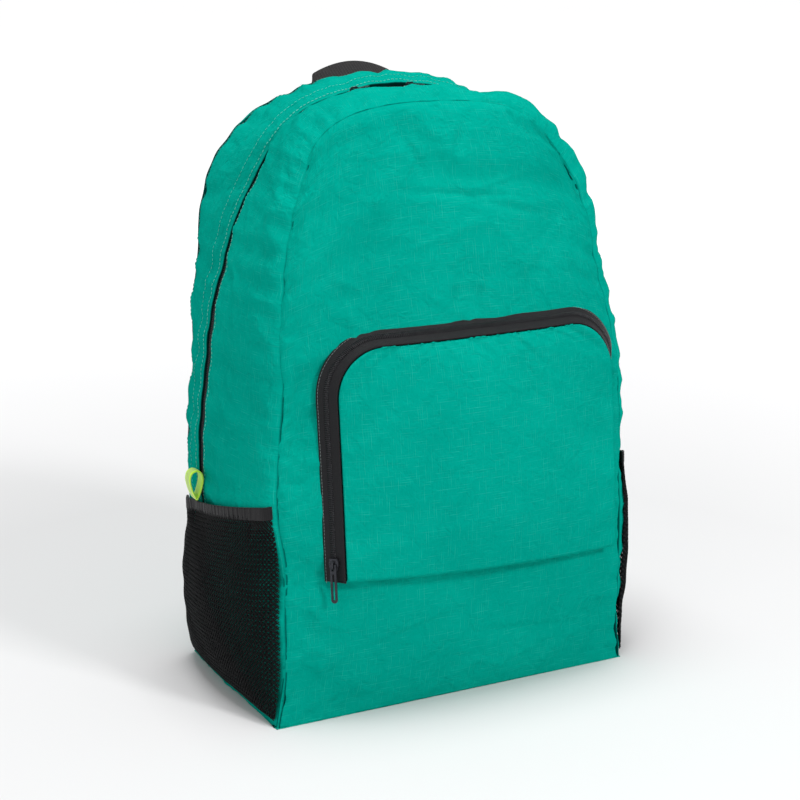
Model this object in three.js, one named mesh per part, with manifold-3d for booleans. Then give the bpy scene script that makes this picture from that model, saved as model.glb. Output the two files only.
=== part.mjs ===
// A light packable daypack standing on its flat base, filled out as if lightly packed.
// Millimetres, +Z up, front facing -Y. The origin is the middle of the base, on the ground.
// The bag is a hollow shell of cloth panels, cut from three seam lines that run up one side,
// over the top and down the other: the front seam, the main zip and the back seam.
import * as THREE from 'three';
import { mergeVertices } from 'three/addons/utils/BufferGeometryUtils.js';
import Module from 'manifold-3d';

const { clamp, lerp, smoothstep } = THREE.MathUtils;

// Bag body
const BODY_WIDTH = 285;
const BASE_DEPTH = 160;
const BODY_HEIGHT = 434; // top of the back seam
const FRONT_DROP = 10; // the front seam's top lies this much lower
const ZIP_DROP = 6; // and the zip, in its groove, this much lower
const FRONT_LEAN = 38; // how far the front seam's top stands behind its foot
const BACK_LEAN = 18; // how far the back seam's top stands before its foot
const CLOTH = 2; // wall of every cloth panel
const SEAM_GAP = 0.4; // between two panels at a seam
const RIM_EASE = 1.3; // a side panel's rim leans this much more than the mitre
const REST_GAP = 0.3; // between any other two pieces that touch
const FRONT_CROWN = 13; // how far the packed front panel stands out of its seams
const BACK_CROWN = 3;
const SIDE_SWELL = 11; // how far the cloth between front seam and zip puffs out
const REAR_SWELL = 3;
const LEFT_PUFF = 0.6; // the bag leans to its right, so its left side puffs out less

// Main zip
const LIP_GAP = 5; // between the cloth lips along the closed zip
const MOUTH_GAP = 11; // between the lips over the top, where they stand open
const MOUTH_HALF_LENGTH = 56;
const MOUTH_CENTRE = 4;
const MAIN_TAPE_WIDTH = 12; // each side's tape
const TAPE_WALL = 1;
const TAPE_SINK = 0.5; // how much deeper the tape's hidden edge lies under the cloth
const COIL_WIDTH = 3.6;
const COIL_HEIGHT = 1.3;
const LEFT_SLIDER_X = -31;
const RIGHT_SLIDER_X = 13;
const SLIT_HALF_WIDTH = 3.6; // how far each tape edge stands off between the sliders
const ZIP_END_HEIGHT = 118;
const LIP_PARTING = 18; // the lips part over this length above the zip's end

// Sliders and pulls
const SLIDER_LENGTH = 9;
const SLIDER_WIDTH = 7;
const SLIDER_WALL = 1.2;
const BRIDGE_LENGTH = 6.4;
const BRIDGE_WIDTH = 1.4;
const PULL_WIDTH = 4.6;
const PULL_WALL = 1.1;
const TOP_PULL_LENGTH = 12;
const POCKET_PULL_LENGTH = 27;

// Front pocket
const POCKET_WIDTH = 242;
const POCKET_SHIFT = 17; // its middle lies this far to the right of the bag's
const POCKET_BOTTOM = 103;
const POCKET_TOP = 275;
const POCKET_CORNER = 45;
const POCKET_RISE = 10; // how far its zip's inner edge stands off the front panel
const POCKET_CROWN = 7;
const POCKET_TAPE_WIDTH = 11;
const POCKET_SLIDER_HEIGHT = 116;

// Mesh side pockets
const MESH_FRONT_HEIGHT = 158;
const MESH_BACK_HEIGHT = 124;
const MESH_FOOT = 5; // bare cloth under the mesh
const MESH_WALL = 1.2;
const MESH_BULGE = 15;
const HEM_HEIGHT = 9;
const HEM_WALL = 1.8;
const HEM_SLACK = 6; // how far the hem stands off the side

// Loop tab at the zip's left end
const TAB_HEIGHT = 23;
const TAB_SPREAD = 11;
const TAB_WIDTH = 10;
const TAB_WALL = 1.1;

// Haul loop
const HAUL_SPAN = 70;
const HAUL_SHIFT = -6; // its middle lies this far to the left of the bag's
const HAUL_RISE = 7; // its top's height over the back seam's top
const HAUL_DROP = 26; // its feet's depth under the back seam's top
const HAUL_WIDTH = 24;
const HAUL_WALL = 1.8;

// Shoulder straps
const STRAP_WIDTH = 54;
const STRAP_WALL = 4;
const STRAP_DROP = 30; // its top's depth under the back seam's top
const STRAP_END = 132;
const STRAP_BOW = 22; // how far a strap stands off the back
const WEBBING_WIDTH = 20;
const WEBBING_WALL = 1.4;
const WEBBING_FOOT = 16;
const WEBBING_FOOT_SHARE = 0.8; // place sideways as a share of half the body's width
const BUCKLE_WIDTH = 27;
const BUCKLE_LENGTH = 24;
const BUCKLE_WALL = 4;

// The three seam lines from the base corner (first row) to the middle of the top (last row).
// rise is a share of each line's own height; front, zip and back are shares of half the
// body's width; zipBack is the zip's place as a share of the way from front to back seam;
// sway is how far the packed bag leans to its right, as a share of the body's width; puff
// is how far the side cloth swells there, as a share of the side swell.
const SEAM_ROWS = [
  { rise: 0.0, front: 1.0, zip: 1.0, back: 0.99, zipBack: 0.76, sway: 0, puff: 0 },
  { rise: 0.09, front: 0.966, zip: 1.01, back: 0.997, zipBack: 0.76, sway: 0.011, puff: 0.5 },
  { rise: 0.18, front: 0.97, zip: 1.03, back: 1.003, zipBack: 0.76, sway: 0.019, puff: 0.8 },
  { rise: 0.27, front: 0.967, zip: 1.038, back: 0.99, zipBack: 0.76, sway: 0.026, puff: 0.95 },
  { rise: 0.36, front: 0.983, zip: 1.045, back: 0.995, zipBack: 0.755, sway: 0.021, puff: 1.0 },
  { rise: 0.45, front: 0.975, zip: 1.045, back: 0.995, zipBack: 0.745, sway: 0.028, puff: 1.0 },
  { rise: 0.54, front: 0.954, zip: 1.025, back: 0.97, zipBack: 0.73, sway: 0.034, puff: 1.1 },
  { rise: 0.63, front: 0.92, zip: 0.985, back: 0.968, zipBack: 0.71, sway: 0.022, puff: 1.2 },
  { rise: 0.71, front: 0.877, zip: 0.92, back: 0.94, zipBack: 0.69, sway: 0.014, puff: 1.35 },
  { rise: 0.79, front: 0.835, zip: 0.855, back: 0.925, zipBack: 0.665, sway: 0.012, puff: 1.5 },
  { rise: 0.87, front: 0.751, zip: 0.735, back: 0.86, zipBack: 0.64, sway: 0.007, puff: 1.6 },
  { rise: 0.93, front: 0.649, zip: 0.61, back: 0.7, zipBack: 0.62, sway: -0.007, puff: 1.3 },
  { rise: 0.97, front: 0.519, zip: 0.47, back: 0.49, zipBack: 0.6, sway: -0.01, puff: 0.85 },
  { rise: 0.992, front: 0.323, zip: 0.27, back: 0.3, zipBack: 0.59, sway: -0.014, puff: 0.6 },
  { rise: 1.0, front: 0, zip: 0, back: 0, zipBack: 0.585, sway: -0.01, puff: 0.5 },
];

// Dents (+) and puffs (-) of the front panel, seen from the front. x and z are the middle
// of the fold as shares of half the body's width and of its height, angle is its direction
// in degrees from level, length and width are shares of the body's width, and depth is a
// share of the front crown.
const FRONT_FOLDS = [
  { x: -0.13, z: 0.92, angle: -52, length: 0.13, width: 0.035, depth: 0.3 },
  { x: 0.2, z: 0.855, angle: -8, length: 0.2, width: 0.032, depth: 0.26 },
  { x: -0.5, z: 0.8, angle: 40, length: 0.2, width: 0.045, depth: -0.2 },
  { x: 0.55, z: 0.74, angle: 62, length: 0.18, width: 0.045, depth: 0.22 },
  { x: 0.1, z: 0.68, angle: 84, length: 0.1, width: 0.035, depth: 0.24 },
  { x: -0.84, z: 0.47, angle: 80, length: 0.13, width: 0.04, depth: 0.4 },
  { x: -0.84, z: 0.62, angle: 15, length: 0.07, width: 0.035, depth: 0.26 },
  { x: -0.35, z: 0.12, angle: 20, length: 0.22, width: 0.04, depth: 0.2 },
  { x: 0.5, z: 0.11, angle: -14, length: 0.24, width: 0.045, depth: 0.22 },
];

// Folds of the front pocket, in the same columns: x and z as shares of the pocket's own
// half width and height, depth as a share of the pocket's crown.
const POCKET_FOLDS = [
  { x: -0.45, z: 0.8, angle: 30, length: 0.16, width: 0.035, depth: 0.25 },
  { x: 0.25, z: 0.86, angle: -70, length: 0.1, width: 0.03, depth: 0.3 },
  { x: 0.62, z: 0.3, angle: -35, length: 0.2, width: 0.04, depth: 0.25 },
  { x: -0.3, z: 0.16, angle: 8, length: 0.3, width: 0.035, depth: -0.22 },
];

// Upright wrinkles of the side cloth between front seam and zip: place along the seam and
// place from seam to zip as shares, width as a share of the base depth, depth as a share
// of the side swell. The same wrinkle is met on both sides.
const SIDE_FOLDS = [
  { along: 0.2, back: 0.35, length: 0.05, width: 0.2, depth: 0.35 },
  { along: 0.27, back: 0.7, length: 0.06, width: 0.18, depth: 0.3 },
  { along: 0.34, back: 0.4, length: 0.035, width: 0.25, depth: 0.3 },
  { along: 0.41, back: 0.55, length: 0.03, width: 0.25, depth: -0.2 },
];

// A strap's middle line behind the back: share of the way down from its top to its end,
// place sideways as a share of half the body's width, stand-off as a share of the bow,
// and its width as a share of the strap's widest.
const STRAP_ROWS = [
  { down: 0.0, side: 0.3, off: 0.0, width: 0.72 },
  { down: 0.07, side: 0.31, off: 0.42, width: 0.86 },
  { down: 0.3, side: 0.36, off: 0.95, width: 1.0 },
  { down: 0.6, side: 0.46, off: 1.0, width: 1.0 },
  { down: 0.85, side: 0.56, off: 0.62, width: 0.86 },
  { down: 1.0, side: 0.62, off: 0.4, width: 0.5 },
];

// The haul loop's middle line: share of half the span, share of the way up from its foot
// to its top, and how far the webbing has turned from lying flat on the back (0) to lying
// flat across the hand (1).
const HAUL_ROWS = [
  { side: 1.0, up: 0.0, turn: 0.0 },
  { side: 1.01, up: 0.32, turn: 0.12 },
  { side: 0.97, up: 0.62, turn: 0.6 },
  { side: 0.72, up: 0.88, turn: 1.0 },
  { side: 0.34, up: 0.98, turn: 1.0 },
  { side: 0.0, up: 1.0, turn: 1.0 },
];

// Facets
const STEPS_PER_ROW = 2; // between two rows of the seam table
const FRONT_STEPS_ACROSS = 16;
const FRONT_STEPS_UP = 26;
const POCKET_SIDE_STEPS = 6;
const POCKET_CORNER_STEPS = 5;
const POCKET_TOP_STEPS = 8;
const PLATE_CURVE_STEPS = 5;
const ROW_COUNT = SEAM_ROWS.length - 1;
const STATIONS = 2 * ROW_COUNT * STEPS_PER_ROW;
const SHOULDER = 11 / (2 * ROW_COUNT); // share along the seam where side turns into top

const halfWidth = BODY_WIDTH / 2;
const halfDepth = BASE_DEPTH / 2;
const frontHeight = BODY_HEIGHT - FRONT_DROP;
const zipHeight = BODY_HEIGHT - ZIP_DROP;
const vec = (x, y, z) => new THREE.Vector3(x, y, z);
const BACKWARDS = vec(0, 1, 0);
const UP = vec(0, 0, 1);

const frontY = (z) => -halfDepth + (FRONT_LEAN * z) / frontHeight;
const backY = (z) => halfDepth - BACK_LEAN * (z / BODY_HEIGHT) ** 2;

// Materials
const material = (color, roughness, metalness = 0) =>
  new THREE.MeshStandardMaterial({ color, roughness, metalness });
const GREEN_CLOTH = material(0x07a08c, 0.55);
const BLACK_MESH = material(0x15191b, 0.85);
const BLACK_WEBBING = material(0x1d1e21, 0.7);
const BLACK_COIL = material(0x1b1c20, 0.45);
const DARK_METAL = material(0x2c2e33, 0.35, 0.6);
const BLACK_PLASTIC = material(0x18191b, 0.5);
const BRIGHT_TAPE = material(0xbdf03a, 0.6);

const group = new THREE.Group();
const addPiece = (name, geometry, look) => {
  const mesh = new THREE.Mesh(geometry, look);
  mesh.name = name;
  group.add(mesh);
  return mesh;
};

// A closed body between two faces. Each face is a function of (u, v), both from 0 to 1,
// and the outer one points out where u runs left to right and v upwards.
function wall(outer, inner, across, up) {
  const positions = [];
  for (const face of [outer, inner]) {
    for (let j = 0; j <= up; j += 1) {
      for (let i = 0; i <= across; i += 1) {
        positions.push(...face(i / across, j / up).toArray());
      }
    }
  }
  const row = across + 1;
  const layer = row * (up + 1);
  const index = [];
  const quad = (a, b, c, d) => index.push(a, b, c, a, c, d);
  for (let j = 0; j < up; j += 1) {
    for (let i = 0; i < across; i += 1) {
      const a = j * row + i;
      quad(a, a + 1, a + row + 1, a + row);
      quad(layer + a, layer + a + row, layer + a + row + 1, layer + a + 1);
    }
  }
  const top = up * row;
  for (let i = 0; i < across; i += 1) {
    quad(i + 1, i, layer + i, layer + i + 1);
    quad(top + i, top + i + 1, layer + top + i + 1, layer + top + i);
  }
  for (let j = 0; j < up; j += 1) {
    const left = j * row;
    const right = left + across;
    quad(left, left + row, layer + left + row, layer + left);
    quad(right + row, right, layer + right, layer + right + row);
  }
  const geometry = new THREE.BufferGeometry();
  geometry.setAttribute('position', new THREE.Float32BufferAttribute(positions, 3));
  geometry.setIndex(index);
  return geometry;
}

// A fold table's displacement at (x, z), both in millimetres
function foldDepth(folds, x, z, halfSpan, height, unit) {
  let depth = 0;
  for (const fold of folds) {
    const angle = THREE.MathUtils.degToRad(fold.angle);
    const dx = x - fold.x * halfSpan;
    const dz = z - fold.z * height;
    const along = (dx * Math.cos(angle) + dz * Math.sin(angle)) / (fold.length * unit);
    const beside = (dz * Math.cos(angle) - dx * Math.sin(angle)) / (fold.width * unit);
    depth += fold.depth * Math.exp(-along * along - beside * beside);
  }
  return depth;
}

// Seam lines
// Each holds its points on the outside of the cloth and its outward directions.
function seamLine(column, height, yAt, swayShare) {
  const rows = SEAM_ROWS.map((row) => ({
    x: row[column] * halfWidth,
    z: row.rise * height,
    sway: row.sway * BODY_WIDTH * swayShare,
    zipBack: row.zipBack,
  }));
  const place = (row, side) => vec(side * row.x + row.sway, yAt(row), row.z);
  const left = rows.map((row) => place(row, -1));
  const right = rows.slice(0, -1).reverse().map((row) => place(row, 1));
  const curve = new THREE.CatmullRomCurve3([...left, ...right], false, 'centripetal');
  const points = [];
  for (let i = 0; i <= STATIONS; i += 1) {
    points.push(curve.getPoint(i / STATIONS));
  }
  const out = points.map((point, i) => {
    if (i === 0) {
      return vec(-1, 0, -1);
    }
    if (i === STATIONS) {
      return vec(1, 0, -1);
    }
    const run = points[i + 1].clone().sub(points[i - 1]);
    return vec(-run.z, 0, run.x).normalize();
  });
  return { points, out };
}

// Value of a list with one entry for each station, at a share along the seam
function along(list, share) {
  const at = clamp(share, 0, 1) * STATIONS;
  const i = Math.min(Math.floor(at), STATIONS - 1);
  return list[i].clone().lerp(list[i + 1], at - i);
}

const frontSeam = seamLine('front', frontHeight, (row) => frontY(row.z), 1);
const backSeam = seamLine('back', BODY_HEIGHT, (row) => backY(row.z), 0);
const zipY = (row) => lerp(frontY(row.z), backY(row.z), row.zipBack);
const zipLine = seamLine('zip', zipHeight, zipY, 0.5);

// Half the distance between the two cloth lips of the main zip at a station
function lipHalfGap(point) {
  const rise = smoothstep(point.z, ZIP_END_HEIGHT, ZIP_END_HEIGHT + LIP_PARTING);
  const closed = lerp(SEAM_GAP, LIP_GAP, rise);
  const fromMouth = Math.abs(point.x - MOUTH_CENTRE) / MOUTH_HALF_LENGTH;
  const open = point.z > frontHeight / 2 ? 1 - smoothstep(fromMouth, 0.6, 1) : 0;
  return lerp(closed, MOUTH_GAP, open) / 2;
}

const lipLine = (side) => ({
  points: zipLine.points.map((p) => p.clone().addScaledVector(BACKWARDS, side * lipHalfGap(p))),
  out: zipLine.out,
});
const frontLip = lipLine(-1);
const rearLip = lipLine(1);

// A point of the side cloth between two seam lines. share runs along the seam, back from
// the first line to the second, and lift is the height over the cloth's outer face.
function clothPoint(first, second, share, back, lift, swell) {
  const point = along(first.points, share).lerp(along(second.points, share), back);
  const out = along(first.out, share).lerp(along(second.out, share), clamp(back, 0, 1));
  const flat = share > 0 && share < 1 ? out.clone().normalize() : out;
  return point.addScaledVector(flat, lift + swell);
}

// How far the side cloth puffs out at a place along the seam, as a share of the side swell
function puffAt(share) {
  const low = clamp(Math.min(share, 1 - share), 0, 0.5) * 2 * ROW_COUNT;
  const i = Math.min(Math.floor(low), ROW_COUNT - 1);
  const puff = lerp(SEAM_ROWS[i].puff, SEAM_ROWS[i + 1].puff, low - i);
  return puff * lerp(LEFT_PUFF, 1, smoothstep(share, 0.42, 0.58));
}

function sideSwell(share, back) {
  const t = clamp(back, 0, 1);
  let swell = SIDE_SWELL * puffAt(share) * Math.sin(Math.PI * t ** 0.65);
  const low = Math.min(share, 1 - share);
  for (const fold of SIDE_FOLDS) {
    const run = (low - fold.along) / fold.length;
    const beside = (t - fold.back) / fold.width;
    const edge = Math.sin(Math.PI * t);
    swell -= SIDE_SWELL * fold.depth * edge * Math.exp(-run * run - beside * beside);
  }
  return swell;
}

function rearSwell(share, back) {
  const foot = smoothstep(Math.min(share, 1 - share), 0, 0.12);
  return REAR_SWELL * foot * Math.sin(Math.PI * clamp(back, 0, 1));
}

const frontSkin = (share, back, lift) =>
  clothPoint(frontSeam, frontLip, share, back, lift, sideSwell(share, back));
const rearSkin = (share, back, lift) =>
  clothPoint(rearLip, backSeam, share, back, lift, rearSwell(share, back));

// Side panels
// A seam's mitre leans the panel's edge, so that two panels meet edge to edge.
function addSidePanels() {
  const frontLength = (share) =>
    along(frontSeam.points, share).distanceTo(along(frontLip.points, share));
  const rearLength = (share) =>
    along(rearLip.points, share).distanceTo(along(backSeam.points, share));
  const front = (lift, mitre) => (share, back) => {
    const start = (SEAM_GAP + mitre * RIM_EASE) / frontLength(share);
    return frontSkin(share, lerp(start, 1, back), lift);
  };
  const rear = (lift, mitre) => (share, back) => {
    const end = 1 - (SEAM_GAP + mitre * RIM_EASE) / rearLength(share);
    return rearSkin(share, back * end, lift);
  };
  addPiece('side_front', wall(front(0, 0), front(-CLOTH, CLOTH), STATIONS, 5), GREEN_CLOTH);
  addPiece('side_rear', wall(rear(0, 0), rear(-CLOTH, CLOTH), STATIONS, 3), GREEN_CLOTH);
}

// A sheet filled in between the two halves of a seam line, its top and the base edge
function coonsFace(line, mirror, inset, depthAt) {
  const edge = (share) => {
    const at = mirror ? 1 - share : share;
    return along(line.points, at).addScaledVector(along(line.out, at), -inset);
  };
  const base = [edge(0), edge(1)];
  const shoulders = [edge(SHOULDER), edge(1 - SHOULDER)];
  return (u, v) => {
    const bottom = base[0].clone().lerp(base[1], u);
    const top = edge(lerp(SHOULDER, 1 - SHOULDER, u));
    const left = edge(SHOULDER * v);
    const right = edge(1 - SHOULDER * v);
    const low = base[0].clone().lerp(base[1], u);
    const high = shoulders[0].clone().lerp(shoulders[1], u);
    const point = bottom.lerp(top, v).add(left.lerp(right, u)).sub(low.lerp(high, v));
    return point.addScaledVector(BACKWARDS, depthAt(u, v, point));
  };
}

const crownShape = (u, v) => {
  const sideways = Math.sin(Math.PI * u) ** 0.7;
  const upwards = smoothstep(v, 0, 0.16) * Math.sin(Math.PI * clamp(v, 0.5, 1)) ** 0.6;
  return sideways * upwards;
};
const edgeFade = (u, v) =>
  smoothstep(Math.min(u, 1 - u), 0, 0.08) * smoothstep(Math.min(v, 1 - v), 0, 0.06);

// How far the front panel's outside lies behind its seams' surface at a place on it
function frontDepth(u, v, point) {
  const fold = foldDepth(FRONT_FOLDS, point.x, point.z, halfWidth, BODY_HEIGHT, BODY_WIDTH);
  return FRONT_CROWN * (edgeFade(u, v) * fold - crownShape(u, v));
}

function addFrontPanel() {
  const face = (inset) =>
    coonsFace(frontSeam, false, inset, (u, v, point) => frontDepth(u, v, point) + inset);
  const body = wall(face(0), face(CLOTH), FRONT_STEPS_ACROSS, FRONT_STEPS_UP);
  addPiece('front_panel', body, GREEN_CLOTH);
}

function addBackPanel() {
  const face = (inset) =>
    coonsFace(backSeam, true, inset, (u, v) => BACK_CROWN * crownShape(u, v) - inset);
  const across = STATIONS - 2 * SHOULDER * STATIONS;
  addPiece('back_panel', wall(face(0), face(CLOTH), across, SHOULDER * STATIONS), GREEN_CLOTH);
}

// The base is one flat panel between the four foot edges
function addBase() {
  const face = (lift) => (u, v) => {
    const inset = SEAM_GAP + lift;
    const front = frontSeam.points;
    const back = backSeam.points;
    const left = lerp(back[0].x, front[0].x, v) + inset;
    const right = lerp(back.at(-1).x, front.at(-1).x, v) - inset;
    return vec(lerp(left, right, u), lerp(backY(0) - inset, frontY(0) + inset, v), lift);
  };
  addPiece('base_panel', wall(face(0), face(CLOTH), 2, 2), GREEN_CLOTH);
}

// Main zip
// The first share from a station on where the zip line passes a value of x, y or z
function shareWhere(axis, value, firstStation) {
  const i = zipLine.points.findIndex((p, k) => k > firstStation && p[axis] > value);
  const [a, b] = [zipLine.points[i - 1][axis], zipLine.points[i][axis]];
  return (i - 1 + (value - a) / (b - a)) / STATIONS;
}
const shareAtX = (x) => shareWhere('x', x, STATIONS * 0.3);
const ZIP_START = shareWhere('z', ZIP_END_HEIGHT, 0);
const ZIP_FINISH = 1 - ZIP_START;
const COIL_START = shareWhere('z', ZIP_END_HEIGHT + LIP_PARTING * 0.75, 0);
const leftSliderShare = shareAtX(LEFT_SLIDER_X);
const rightSliderShare = shareAtX(RIGHT_SLIDER_X);
const tapeLift = -CLOTH - REST_GAP;

// A point over the zip line: beside is the distance behind it, lift the height over the cloth
function zipPoint(share, beside, lift) {
  const out = along(zipLine.out, share).normalize();
  return along(zipLine.points, share)
    .addScaledVector(BACKWARDS, beside)
    .addScaledVector(out, lift);
}

// The tape edge is drawn back from the middle line between the two sliders
function slitHalfWidth(share) {
  const t = clamp((share - leftSliderShare) / (rightSliderShare - leftSliderShare), 0, 1);
  return REST_GAP / 2 + SLIT_HALF_WIDTH * Math.sin(Math.PI * t) ** 0.5;
}

// Half of the main zip's tape: under its own cloth, then bare from the lip to its edge
function tapePoint(side, share, v, lift) {
  const lip = lipHalfGap(along(zipLine.points, share));
  if (v >= 0.5) {
    return zipPoint(share, side * lerp(lip, slitHalfWidth(share), 2 * v - 1), lift);
  }
  const hidden = (1 - 2 * v) * (MAIN_TAPE_WIDTH - lip);
  if (side < 0) {
    const length = along(frontSeam.points, share).distanceTo(along(frontLip.points, share));
    return frontSkin(share, 1 - hidden / length, lift - TAPE_SINK * (1 - 2 * v));
  }
  const length = along(rearLip.points, share).distanceTo(along(backSeam.points, share));
  return rearSkin(share, hidden / length, lift - TAPE_SINK * (1 - 2 * v));
}

// Shares along a seam from one place to another, with every station between them
function sharesBetween(from, to, stations) {
  const shares = [from];
  for (let i = Math.floor(from * stations) + 1; i < to * stations - 1e-6; i += 1) {
    shares.push(i / stations);
  }
  return [...shares, to];
}

function addMainZip() {
  const tapeShares = sharesBetween(ZIP_START, ZIP_FINISH, STATIONS);
  for (const [side, name] of [[-1, 'front'], [1, 'rear']]) {
    const face = (lift) => (u, v) => {
      const share = tapeShares[Math.round(u * (tapeShares.length - 1))];
      return tapePoint(side, share, side < 0 ? v : 1 - v, lift);
    };
    const body = wall(face(tapeLift), face(tapeLift - TAPE_WALL), tapeShares.length - 1, 2);
    addPiece(`main_zip_tape_${name}`, body, BLACK_WEBBING);
  }
  const clear = SLIDER_LENGTH / 2 + REST_GAP;
  const runs = [
    { name: 'left', from: COIL_START, to: shareAtX(LEFT_SLIDER_X - clear) },
    { name: 'right', from: shareAtX(RIGHT_SLIDER_X + clear), to: 1 - COIL_START },
  ];
  for (const run of runs) {
    const shares = sharesBetween(run.from, run.to, STATIONS);
    const face = (raised) => (u, v) => {
      const share = shares[Math.round(u * (shares.length - 1))];
      const height = REST_GAP + raised * COIL_HEIGHT * (0.4 + 0.6 * Math.sin(Math.PI * v));
      return zipPoint(share, (v - 0.5) * COIL_WIDTH, tapeLift + height);
    };
    addPiece(`main_zip_coil_${run.name}`, wall(face(1), face(0), shares.length - 1, 4), BLACK_COIL);
  }
}

// Solids for joining and cutting
const wasm = await Module();
wasm.setup();

function solidFrom(geometry) {
  const bare = geometry.index ? geometry.clone() : geometry;
  bare.deleteAttribute('normal');
  bare.deleteAttribute('uv');
  const merged = mergeVertices(bare);
  return new wasm.Manifold(new wasm.Mesh({
    numProp: 3,
    vertProperties: merged.attributes.position.array,
    triVerts: new Uint32Array(merged.index.array),
  }));
}

function geometryFrom(solid) {
  const mesh = solid.getMesh();
  const geometry = new THREE.BufferGeometry();
  geometry.setAttribute('position', new THREE.BufferAttribute(mesh.vertProperties, 3));
  geometry.setIndex(new THREE.BufferAttribute(mesh.triVerts, 1));
  return geometry;
}

// An outline drawn from above in (length, across) and given a thickness upwards from zero
function lyingPlate(shape, thickness) {
  const settings = { depth: thickness, bevelEnabled: false, curveSegments: PLATE_CURVE_STEPS };
  return new THREE.ExtrudeGeometry(shape, settings);
}

// An outline drawn in (length, height) and given a thickness across, centred on zero
function standingPlate(shape, thickness) {
  return lyingPlate(shape, thickness).translate(0, 0, -thickness / 2).rotateX(Math.PI / 2);
}

const box = (length, width, height) => new THREE.BoxGeometry(length, width, height);

// Sliders. Their own frame: the zip runs along x, the coil's top is at z = 0.
const plateTop = REST_GAP + SLIDER_WALL;
const barHeight = plateTop + REST_GAP + PULL_WALL / 2; // the pull's pivot bar under the bridge
const bridgeTop = barHeight + PULL_WALL / 2 + REST_GAP + SLIDER_WALL;

function sliderGeometry() {
  const outline = new THREE.Shape();
  const nose = SLIDER_WIDTH * 0.36;
  const tail = SLIDER_WIDTH * 0.4;
  const belly = SLIDER_LENGTH * 0.1;
  outline.moveTo(-SLIDER_LENGTH / 2, -nose);
  outline.lineTo(belly, -SLIDER_WIDTH / 2);
  outline.lineTo(SLIDER_LENGTH / 2, -tail);
  outline.lineTo(SLIDER_LENGTH / 2, tail);
  outline.lineTo(belly, SLIDER_WIDTH / 2);
  outline.lineTo(-SLIDER_LENGTH / 2, nose);
  outline.closePath();
  const plate = lyingPlate(outline, SLIDER_WALL).translate(0, 0, REST_GAP);
  let solid = solidFrom(plate);
  const flangeHeight = COIL_HEIGHT + REST_GAP;
  const flangeAcross = (COIL_WIDTH + 2 * REST_GAP + SLIDER_WIDTH) / 4;
  const flangeWidth = (SLIDER_WIDTH - COIL_WIDTH) / 2 - REST_GAP;
  for (const side of [-1, 1]) {
    const flange = box(SLIDER_LENGTH * 0.45, flangeWidth, flangeHeight + SLIDER_WALL / 2);
    const flangeMiddle = REST_GAP + (SLIDER_WALL / 2 - flangeHeight) / 2;
    flange.translate(SLIDER_LENGTH * 0.12, side * flangeAcross, flangeMiddle);
    solid = solid.add(solidFrom(flange));
  }
  const arch = new THREE.Shape();
  const half = BRIDGE_LENGTH / 2;
  const base = plateTop - SLIDER_WALL / 2;
  arch.moveTo(-half, base);
  arch.lineTo(-half, bridgeTop - SLIDER_WALL);
  arch.lineTo(-half + SLIDER_WALL, bridgeTop);
  arch.lineTo(half - SLIDER_WALL, bridgeTop);
  arch.lineTo(half, bridgeTop - SLIDER_WALL);
  arch.lineTo(half, base);
  arch.lineTo(half - SLIDER_WALL, base);
  arch.lineTo(half - SLIDER_WALL, bridgeTop - SLIDER_WALL);
  arch.lineTo(-half + SLIDER_WALL, bridgeTop - SLIDER_WALL);
  arch.lineTo(-half + SLIDER_WALL, base);
  arch.closePath();
  return geometryFrom(solid.add(solidFrom(standingPlate(arch, BRIDGE_WIDTH))));
}

// A pull lying along +x from its pivot bar at the origin
function pullGeometry(length) {
  const half = PULL_WIDTH / 2;
  const rim = PULL_WALL;
  const outline = new THREE.Shape();
  outline.moveTo(-rim / 2, -half);
  outline.lineTo(length - half, -half);
  outline.absarc(length - half, 0, half, -Math.PI / 2, Math.PI / 2);
  outline.lineTo(-rim / 2, half);
  outline.closePath();
  const slot = (from, to, width) => {
    const hole = new THREE.Path();
    hole.moveTo(from, -width / 2);
    hole.lineTo(from, width / 2);
    hole.lineTo(to, width / 2);
    hole.lineTo(to, -width / 2);
    hole.closePath();
    return hole;
  };
  const eyeWidth = BRIDGE_WIDTH + 2 * REST_GAP;
  const eyeEnd = BRIDGE_LENGTH / 2 + 3 * REST_GAP;
  outline.holes.push(slot(rim / 2, eyeEnd, eyeWidth));
  outline.holes.push(slot(eyeEnd + 2 * rim, length - half, PULL_WIDTH * 0.3));
  return lyingPlate(outline, PULL_WALL).translate(0, 0, -PULL_WALL / 2);
}

// Sets a slider and its pull on a zip: at is the coil's top, run and out are unit vectors
function addSlider(name, pullLength, at, run, out, pullRun) {
  const turn = (x, z) => {
    const y = z.clone().cross(x);
    return new THREE.Quaternion().setFromRotationMatrix(new THREE.Matrix4().makeBasis(x, y, z));
  };
  const slider = addPiece(`${name}_slider`, sliderGeometry(), DARK_METAL);
  slider.position.copy(at);
  slider.quaternion.copy(turn(run, out));
  const pull = addPiece(`${name}_pull`, pullGeometry(pullLength), DARK_METAL);
  pull.position.copy(at).addScaledVector(out, barHeight);
  pull.quaternion.copy(turn(pullRun, out));
}

function addMainSliders() {
  for (const [name, x] of [['main_left', LEFT_SLIDER_X], ['main_right', RIGHT_SLIDER_X]]) {
    const share = shareAtX(x);
    const out = along(zipLine.out, share).normalize();
    const run = vec(out.z, 0, -out.x);
    const towardsSlit = name === 'main_left' ? 1 : -1;
    const at = zipPoint(share, 0, tapeLift + REST_GAP + COIL_HEIGHT);
    addSlider(name, TOP_PULL_LENGTH, at, run.clone().multiplyScalar(towardsSlit), out, run);
  }
}

// Front pocket
// Its outline is an arch: up the left side, round the corner, along the top and down.
const POCKET_STATIONS = 2 * (POCKET_SIDE_STEPS + POCKET_CORNER_STEPS) + POCKET_TOP_STEPS;

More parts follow.
